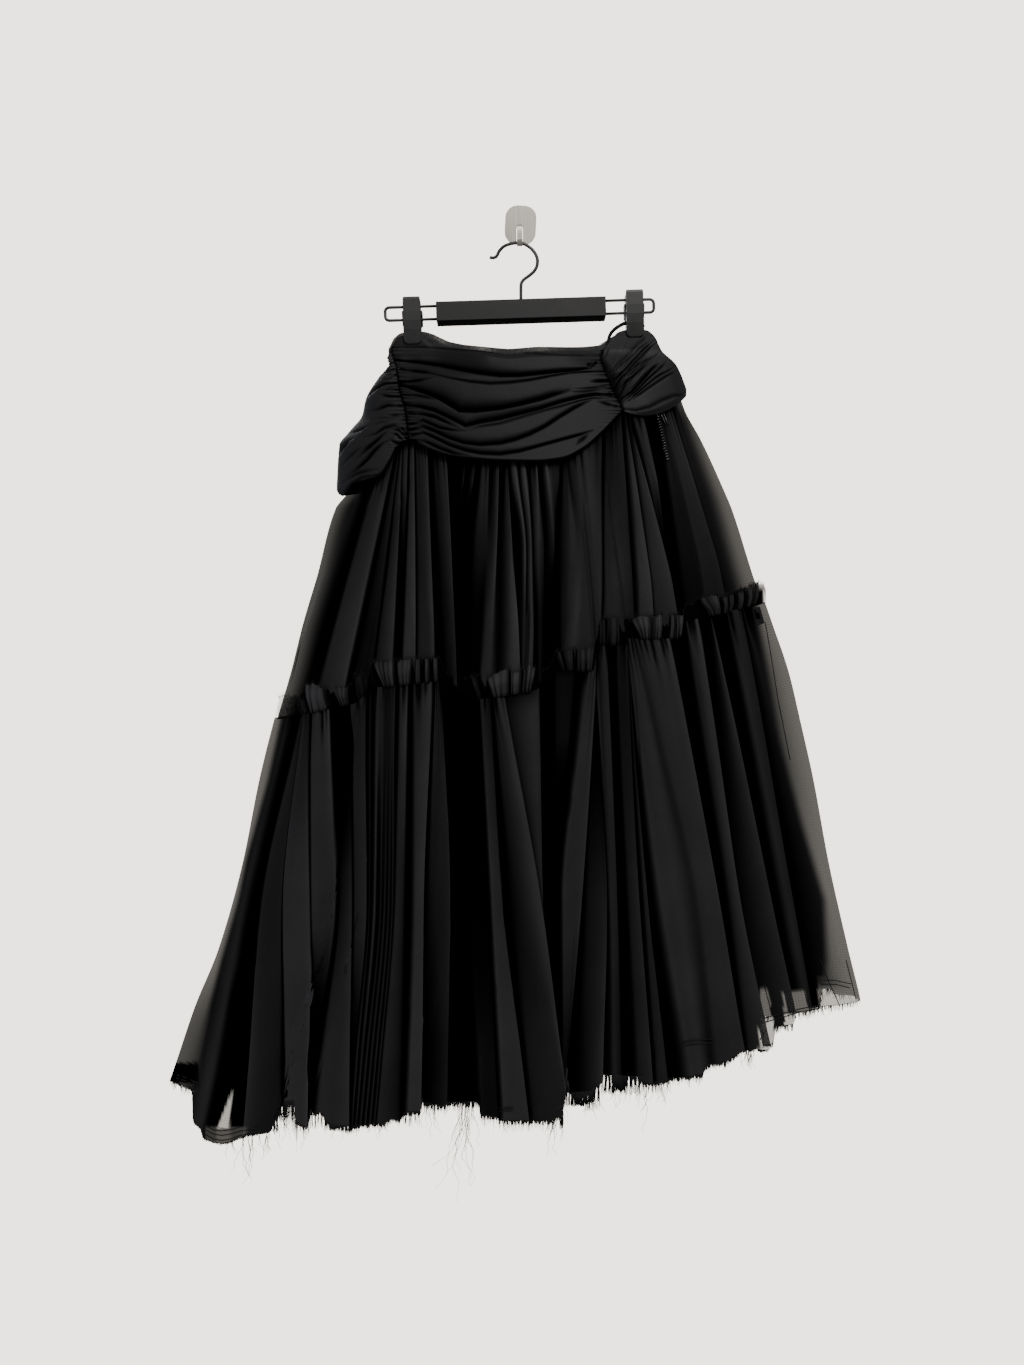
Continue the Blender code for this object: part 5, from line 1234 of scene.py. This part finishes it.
def build_yoke_centre():
    """The front's swagged panel between its two shirred seams."""
    u, v, height = panel_grid((220, 340), -200.0)
    for _ in range(10):
        left, right = sides_of(SEAMS, height)
        x = mix(left, right, u)
        top = read(WAIST_FRONT, "across", x, "height")
        foot = read(YOKE_FOOT_FRONT, "across", x, "height")
        height = mix(top, foot, v)
    full = 5.5 * seam_pull(u) * ease(v / 0.05) * ease((1 - v) / 0.03 + 0.3)
    beside = np.minimum(x - left, right - x)
    notch = creased(x, height, CENTRE_CREASES, bell(beside, 0, 13))
    gathers = shirring(x, height, beside, reach=9, pace=1.5, sway=2.5, slow=0.23, lean=0.02)
    lift = lift_at_sides(x, height) + full - CREASE_PULL * notch + 1.1 * gathers
    lift = lift * ease(v / 0.01 + 0.6)
    # painted shade: darker beside the seams and near the foot, lighter and darker along the gathers, and the
    # whole panel a little darker
    near_seam, near_foot = mix(0.12, 1.0, ease(beside / 4)), mix(0.65, 1.0, ease((1 - v) / 0.03))
    shade = yoke_shade(notch, 0.5 * gathers) * near_seam * near_foot * 0.8
    return yoke_panel("yoke_centre_cloth", x, height, lift, shade)


def build_yoke_left():
    """The front's small left panel, with the knot at its seam's foot."""
    u, v, height = panel_grid((220, 130), -220.0)
    for _ in range(14):
        left = read(YOKE_FORM, "height", height, "left")
        right = read(SEAMS, "height", height, "left") - 0.4
        x = mix(left, right, u)
        foot = read(YOKE_FOOT_FRONT, "across", x, "height")
        height = mix(height, mix(LEFT_PANEL_TOP, foot, v), 0.7)
    notch = creased(x, height, LEFT_PANEL_CREASES, bell(x, right, 9))
    # the scrunched knot, and the seam drawn in just above it
    knot_x, knot_height, drawn_in, drawn_at = -142, -242, 7.0, -228
    knot = np.exp(-((x - knot_x) ** 2 + (height - knot_height) ** 2) / 60)
    x = x - drawn_in * bell(height, drawn_at, 6) * (1 - ease(u * 5))
    gathers = shirring(x, height, right - x, reach=9, pace=1.4, sway=2, slow=0.2)
    full = 5.0 * np.sin(math.pi * np.clip(u * 0.8 + 0.2, 0, 1)) * ease(v / 0.04) * ease((1 - v) / 0.03 + 0.3)
    lift = lift_at_sides(x, height) + full - CREASE_PULL * notch + 0.9 * gathers + 3.0 * knot
    # painted shade: darker along the left side, and darker still at the seam
    edge = mix(0.7, 1.0, ease(u / 0.08)) * mix(0.35, 1.0, ease((1 - u) / 0.03))
    shade = yoke_shade(notch, 0.45 * gathers) * edge
    return yoke_panel("yoke_left_cloth", x, height, lift, shade)


def build_yoke_right():
    """The front's right panel, whose folds fan out from one gathering point."""
    u = np.linspace(0, 1, 170)[None, :]
    w = np.linspace(0, 9, 220)[:, None]
    start, end, end_height, bow = (smooth(np.arange(10.0), FAN[key], w) for key in FAN)
    start_x = read(SEAMS, "height", start, "right") + 0.4
    x = mix(start_x, end, u)
    height = mix(start, end_height, u) + bow * 4 * u * (1 - u)
    notch = creased(x, height, RIGHT_PANEL_CREASES, bell(x, start_x, 12), 10.0)
    fans = np.sin(w * 21 + 2.0 * np.sin(w * 5.3) + 1.2 * u) * after(w, 1.4, 0.8) * before(w, 7.0, 0.6)
    fans = fans * mix(1.0, 0.4, ease(u * 1.4 - 0.3))
    full = ease(u * 2.4) * mix(1.0, 0.6, ease(u * 1.6 - 0.6)) * ease((9 - w) / 0.5 + 0.2)
    inward = CREASE_PULL * notch * mix(0.4, 1.0, ease(u * 3))
    lift = lift_at_sides(x, height) + 5.0 * full - inward + 0.35 * fans
    # painted shade: a dark wedge beside the seam where the folds start, and lighter and darker along the
    # fans
    wedge = 3 + 11 * bell(height, -180, 17)
    shade = yoke_shade(notch, 0.16 * fans) * mix(0.12, 1.0, ease((x - start_x) / wedge))
    return yoke_panel("yoke_right_cloth", x, height, lift, shade)


def hump(t):
    """A band between creases: it swells from the crease above and rolls under at the one below."""
    t = np.clip(t, 0.0, 1.0)
    return (1 - np.exp(-t / 0.22)) * (1 - np.exp(-(1 - t) / 0.07))


def build_yoke_back():
    """The back panel, with uneven bands between creases and a worn, thinner top edge."""
    u, v, height = panel_grid((120, 200), -200.0)
    for _ in range(16):
        x = mix(*sides_of(YOKE_FORM, height), u)
        top = read(WAIST_BACK, "across", x, "height")
        foot = read(YOKE_FOOT_BACK, "across", x, "height")
        height = mix(height, mix(top, foot, v), 0.6)
    marks = []
    last = len(BACK_CREASES["puff"]) - 1
    for key in range(last + 1):
        left, middle, right = (BACK_CREASES[name][key] for name in ("left", "middle", "right"))
        sag = middle - (left + right) / 2
        wander = 1.6 * bumps(90 + key, 9)(u) if 0 < key < last else 0.0
        marks.append((mix(left, right, u) + sag * 4 * u * (1 - u) + wander) / 100)
    dark, puff = np.zeros_like(height), np.zeros_like(height)
    # painted shade: a dark line along each crease, stronger in places
    for key, mark in enumerate(marks[1:-1]):
        strength = 0.75 + 0.25 * bumps(110 + key, 7)(u)
        dark = np.maximum(dark, strength * np.exp(-((np.abs(v - mark) / 0.012) ** 1.3)))
    for key in range(last):
        t = (v - marks[key]) / (marks[key + 1] - marks[key])
        puff = np.where((t >= 0) & (t < 1), BACK_CREASES["puff"][key] * hump(t), puff)
    width = 360
    beside = np.minimum(u, 1 - u) * width
    gathers = shirring(x, height, beside, reach=16, pace=1.2, sway=2.5, slow=0.21, lean=0.03)
    slack = bumps(121, 13)(np.clip(0.6 * u + 0.4 * v, 0, 1)) * np.sin(math.pi * np.clip(v, 0, 1))
    depth = YOKE_BACK_DEPTH - (puff * seam_pull(u) + 0.5 * gathers + 0.5 * slack) * (1 - grip(x, height))
    # painted shade: lighter where the bands puff out and along the gathers, nearly black on the crease lines
    shade = np.clip(0.6 + 0.2 * puff + 0.25 * gathers, 0.25, 1.1) * (1 - 0.85 * dark)
    # three worn patches along the top edge, where the light comes through
    column = column_of(x)
    worn = bell(column, 440, 7) + bell(column, 483, 11) + 0.7 * bell(column, 538, 15)
    cover = 1 - (0.02 + 0.13 * worn) * ease((6.5 - (top - height)) / 3)
    return cloth_object("yoke_back_cloth", place(x, height, depth), YOKE_CLOTH, shade, cover, flip=True)


yoke_centre = build_yoke_centre()
yoke_left = build_yoke_left()
yoke_right = build_yoke_right()
yoke_back = build_yoke_back()


# Threads, stitches, zip and tab
def edge_threads(name, edge, count, seed, length, way, radius):
    """Frayed threads along a row of points: count of them, in world metres."""
    rng = np.random.default_rng(seed)
    along = np.linalg.norm(np.diff(edge, axis=0), axis=1)
    places = np.concatenate(([0.0], np.cumsum(along)))
    at = np.sort(rng.uniform(0, places[-1], count))
    roots = np.stack([np.interp(at, places, edge[:, c]) for c in range(3)], -1)
    lengths = rng.uniform(*length, count)
    ways = np.array(way) + rng.normal(0, 0.28, (count, 3)) * (1, 0.8, 0.3)
    bends = rng.normal(0, 0.25, (count, 3)) * lengths[:, None]
    t = np.linspace(0, 1, 5)[None, :, None]
    middle = roots[:, None] + unit(ways)[:, None] * lengths[:, None, None] * t + bends[:, None] * t**2
    off_wall = -0.0005
    middle[..., 1] = np.minimum(middle[..., 1], off_wall)
    return tubes(name, middle, np.full(count, radius), THREAD)


def loose_threads(edge):
    """Long wavy threads that hang from the hem in clusters."""
    rng = np.random.default_rng(75)
    near = 1.0 - HEM_DEPTH * MM / (EYE_DISTANCE * MM)
    thickness, stations = 0.00038, 15
    roots, lengths = [], []
    for column, spread, count, longest in LOOSE_THREADS:
        count = 3 * count // 2
        at = seen_x(rng.normal(column, spread / 2, count))
        x = (EYE_X + (at - EYE_X) * near) * MM
        roots.append(edge[np.abs(edge[:, 0] - x[:, None]).argmin(axis=1)])
        lengths.append(longest * MM * rng.uniform(0.12, 1.0, count) ** 1.6)
    roots, lengths = np.concatenate(roots), np.concatenate(lengths)[:, None]
    count = len(roots)
    t = np.linspace(0, 1, stations)[None, :]
    turn = rng.uniform(0, 2 * math.pi, (2, count, 1))
    sway = rng.normal(0, 0.16, (count, 1)) * t**1.5
    curl = 0.07 * np.sin(turn[0] + 5 * t + 3 * t**2) * t
    fine = 0.02 * np.sin(turn[1] + 23 * t) * t
    across = (sway + curl + fine) * lengths
    fall = -lengths * t * (1 - 0.12 * np.abs(sway))
    middle = roots[:, None] + np.stack((across, -0.06 * lengths * t, fall), axis=-1)
    return tubes("hem_loose_threads", middle, np.full(count, thickness), THREAD)


def hem_fringe(edge):
    """The frayed edge: fine threads that draw together into bunches at their tips."""
    rng = np.random.default_rng(72)
    columns = column_of(lower_seen[0][-1])
    first_bunch, nearest_apart, farthest_apart, bunch_count = 170, 1.6, 5.2, 205
    bunches = first_bunch + np.cumsum(rng.uniform(nearest_apart, farthest_apart, bunch_count))
    bunch_length = rng.uniform(0, 1, len(bunches))
    nearness, tucked_in, gather_over = 0.88, 0.0008, 0.006
    roots, lengths, pulls, thick = [], [], [], []
    for start, end, count, shortest, longest, pull, wide in FRINGE:
        at = rng.uniform(start, end, count)
        nearest = np.abs(at[:, None] - bunches[None, :]).argmin(axis=1)
        k = np.clip(np.searchsorted(columns, at), 1, len(columns) - 1)
        t = np.clip((at - columns[k - 1]) / np.maximum(columns[k] - columns[k - 1], 1e-6), 0, 1)[:, None]
        roots.append(mix(edge[k - 1], edge[k], t))
        size = 0.6 * bunch_length[nearest] + 0.4 * rng.uniform(0, 1, count)
        lengths.append(mix(shortest, longest, size) * PIXEL * MM * nearness)
        pulls.append((bunches[nearest] - at) * pull * PIXEL * MM)
        thick.append(wide * 1e-5 * rng.uniform(0.65, 1.35, count))
    roots = np.concatenate(roots) + np.array((0.0, 0.0, tucked_in))
    lengths, pulls = np.concatenate(lengths)[:, None], np.concatenate(pulls)[:, None]
    t = np.linspace(0, 1, 3)[None, :]
    lean = rng.normal(0, 0.05, lengths.shape)
    across = lean * t * lengths + pulls * np.minimum(t * lengths / gather_over, 1.0)
    toward = rng.normal(0, 0.06, lengths.shape) * t * lengths
    middle = roots[:, None] + np.stack((across, toward, -lengths * t), axis=-1)
    return tubes("hem_threads", middle, np.concatenate(thick), THREAD)


def path_on(cloth, points, out, stations=16):
    """A path through picture columns and rows, a little in front of a cloth's surface."""
    cloth_x, cloth_height, cloth_depth = (values.ravel() for values in cloth)
    columns, rows = np.array(points, float).T
    t = np.linspace(0, len(points) - 1, stations)
    x = np.interp(t, np.arange(len(points)), seen_x(columns))
    height = np.interp(t, np.arange(len(points)), seen_height(rows))
    far = (cloth_x[None, :] - x[:, None]) ** 2 + (cloth_height[None, :] - height[:, None]) ** 2
    return place(x, height, cloth_depth[far.argmin(axis=1)] + out)


def stitch_rows():
    """Double rows of stitches and the sheer folds' edges, laid on the lower tier."""
    paths = [path_on(lower_seen, points, 0.5) for points in STITCHES]
    return tubes("hem_stitches", np.array(paths), np.full(len(paths), 0.0006), THREAD, 0.0)


def build_zip():
    """Zip teeth down the right, and the slider's two tails."""
    rng = np.random.default_rng(81)
    teeth, half_wide, half_tall, tails_apart = 18, 1.3, 0.5, 2.6
    top, foot = (657.5, 414), (667.5, 459)
    paths = []
    for tooth in range(teeth):
        t = tooth / (teeth - 1)
        column, row = mix(top[0], foot[0], t) + rng.normal(0, 0.4), mix(top[1], foot[1], t)
        ends = (column - half_wide, row + half_tall), (column + half_wide, row - half_tall)
        paths.append(path_on(upper_seen, ends, 1.6, 5))
    for offset in (0.0, tails_apart):
        paths.append(path_on(upper_seen, ((659.5 + offset, 410), (665.5 + offset, 424)), 2.4, 5))
    thick = np.append(np.full(teeth, 0.0008), (0.0006, 0.0006))
    return tubes("zip_teeth", np.array(paths), thick, GLOSSY, 0.15)


def build_tab():
    """The small tab in the right side seam, under the ruffle."""
    rows = (((752.5, 607), (760, 607)), ((755.5, 618), (762.5, 616)), ((757.5, 626), (764.5, 623)))
    points = np.stack([path_on(lower_seen, row, 0.8, 6) for row in rows])
    return cloth_object("seam_tab_cloth", points, RIBBON)


header_threads = edge_threads(
    "header_threads",
    header_points[0],
    count=1300,
    seed=71,
    length=(0.0015, 0.0055),
    way=(0.0, -0.25, 1.0),
    radius=0.0002,
)
hem_threads = hem_fringe(lower_points[-1])
hem_stitches = stitch_rows()
zip_teeth = build_zip()
seam_tab = build_tab()
hem_loose = loose_threads(lower_points[-1])
back_header_threads = edge_threads(
    "header_back_threads",
    header_back_points[0],
    count=350,
    seed=73,
    length=(0.002, 0.006),
    way=(0.0, -0.3, 1.0),
    radius=0.0002,
)
back_hem_threads = edge_threads(
    "hem_back_threads",
    lower_back_points[-1],
    count=1000,
    seed=74,
    length=(0.002, 0.009),
    way=(0.0, 0.0, -1.0),
    radius=0.0003,
)


# The hardware
def thickened(node, more, material):
    """A copy of a thin solid, more millimetres thicker all round, so that it shows on the pale wall."""
    solid = frame["nodes"][node]
    mesh = solid.data.copy()
    mesh.name = f"{node}_shown"
    mesh.materials.clear()
    shape = bmesh.new()
    shape.from_mesh(mesh)
    bmesh.ops.remove_doubles(shape, verts=shape.verts, dist=1e-6)
    shape.normal_update()
    ways = [vertex.normal.copy() for vertex in shape.verts]
    for vertex, way in zip(shape.verts, ways):
        vertex.co += way * more * MM
    shape.to_mesh(mesh)
    shape.free()
    made = linked(f"{node}_shown", mesh, material)
    made.matrix_world = solid.matrix_world
    return made


CLIPS = ("clip_left_front", "clip_left_back", "clip_right_front", "clip_right_back")
FINISH = {
    "wall_hook": (STEEL, "steel", 0.35),
    "hanger_bar": (PLASTIC, "black_plastic", 0.7),
    **{clip: (CLIP, "black_plastic", 0.6) for clip in CLIPS},
    "waist_facing": (NET, "sheer_cloth", 0.0),
}
for node, (finish, slot_name, edge) in FINISH.items():
    piece = frame["nodes"][node]
    piece.data.materials.clear()
    piece.data.materials.append(finish)
    if edge:
        rounded = piece.modifiers.new("rounded_edges", "BEVEL")
        rounded.width = edge * MM
        rounded.segments = 3
        rounded.limit_method = "ANGLE"
        rounded.angle_limit = math.radians(40)

PIECES = (
    (upper_front, ("upper_tier_front",), "sheer_cloth"),
    (lower_front, ("lower_tier_front",), "sheer_cloth"),
    (upper_back, ("upper_tier_back",), "sheer_cloth"),
    (lower_back, ("lower_tier_back",), "sheer_cloth"),
    (header_front, ("header_ruffle_front",), "sheer_cloth"),
    (header_back, ("header_ruffle_back",), "sheer_cloth"),
    (yoke_centre, ("yoke_front_centre",), "yoke_cloth"),
    (yoke_left, ("yoke_front_left",), "yoke_cloth"),
    (yoke_right, ("yoke_front_right",), "yoke_cloth"),
    (yoke_back, ("yoke_back",), "yoke_cloth"),
    (hem_threads, ("hem_fringe_front",), "sheer_cloth"),
    (back_hem_threads, ("hem_fringe_back",), "sheer_cloth"),
    (hem_loose, (), "sheer_cloth"),
    (hem_stitches, (), "sheer_cloth"),
    (zip_teeth, ("side_zip",), "sheer_cloth"),
    (seam_tab, ("seam_tab",), "yoke_cloth"),
    (header_threads, (), "sheer_cloth"),
    (back_header_threads, (), "sheer_cloth"),
    (thickened("hanger_hook", 0.7, WIRE), ("hanger_hook",), "black_wire"),
    (thickened("wire_loop_left", 0.7, WIRE), ("wire_loop_left",), "black_wire"),
    (thickened("wire_loop_right", 0.7, WIRE), ("wire_loop_right",), "black_wire"),
    (thickened("ribbon_loop", 0.35, RIBBON), ("ribbon_loop",), "yoke_cloth"),
)
for piece, nodes, slot_name in PIECES:
    if nodes:
        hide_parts(*nodes)
    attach(piece, "root")


# Light, floor and camera
def light(name, place_m, target, energy, size, colour):
    """A square lamp turned toward its target."""
    lamp = bpy.data.lights.new(name, "AREA")
    lamp.energy = energy
    lamp.color = colour
    lamp.shape = "RECTANGLE"
    lamp.size = lamp.size_y = size
    made = bpy.data.objects.new(name, lamp)
    bpy.context.scene.collection.objects.link(made)
    made.location = place_m
    made.rotation_euler = (Vector(target) - Vector(place_m)).to_track_quat("-Z", "Y").to_euler()


light("key_light", (0.6, -1.8, 1.7), (0.0, -0.05, -0.55), energy=74.0, size=0.9, colour=(1.0, 0.985, 0.96))
light("fill_light", (-2.2, -1.8, -0.2), (0.0, -0.05, -0.6), energy=16.0, size=2.0, colour=(0.93, 0.96, 1.0))
light("back_light", (-0.9, 2.4, 0.9), (0.0, 0.0, -0.5), energy=60.0, size=1.8, colour=(1.0, 1.0, 1.0))

world = bpy.data.worlds.new("studio")
bpy.context.scene.world = world
world.use_nodes = True
tree = world.node_tree
ambient = tree.nodes["Background"]
backdrop = tree.nodes.new("ShaderNodeBackground")
for shine, colour, strength in (
    (ambient, (0.9, 0.92, 1.0, 1.0), 0.3),
    (backdrop, (0.82, 0.775, 0.70, 1.0), 3.9),
):
    shine.inputs["Color"].default_value = colour
    shine.inputs["Strength"].default_value = strength
choose = tree.nodes.new("ShaderNodeMixShader")
for output, socket in (
    (tree.nodes.new("ShaderNodeLightPath").outputs["Is Camera Ray"], choose.inputs[0]),
    (ambient.outputs[0], choose.inputs[1]),
    (backdrop.outputs[0], choose.inputs[2]),
    (choose.outputs[0], tree.nodes["World Output"].inputs["Surface"]),
):
    tree.links.new(output, socket)

bpy.ops.mesh.primitive_plane_add(size=1.0, location=(0.0, -1.35, -1.6))
floor = bpy.context.active_object
floor.name = "floor"
floor.scale = (4.5, 3.3, 1.0)
pale = Nodes("floor_pale")
pale.surface({"Base Color": (0.7, 0.69, 0.67, 1.0), "Roughness": 0.9})
floor.data.materials.append(pale.material)

camera_data = bpy.data.cameras.new("camera")
camera_data.sensor_width = 36.0
camera_data.lens = 27.04
camera = bpy.data.objects.new("camera", camera_data)
bpy.context.scene.collection.objects.link(camera)
camera.location = (EYE_X * MM, -EYE_DISTANCE * MM, EYE_HEIGHT * MM)
camera.rotation_euler = (math.radians(90), 0.0, 0.0)
bpy.context.scene.camera = camera
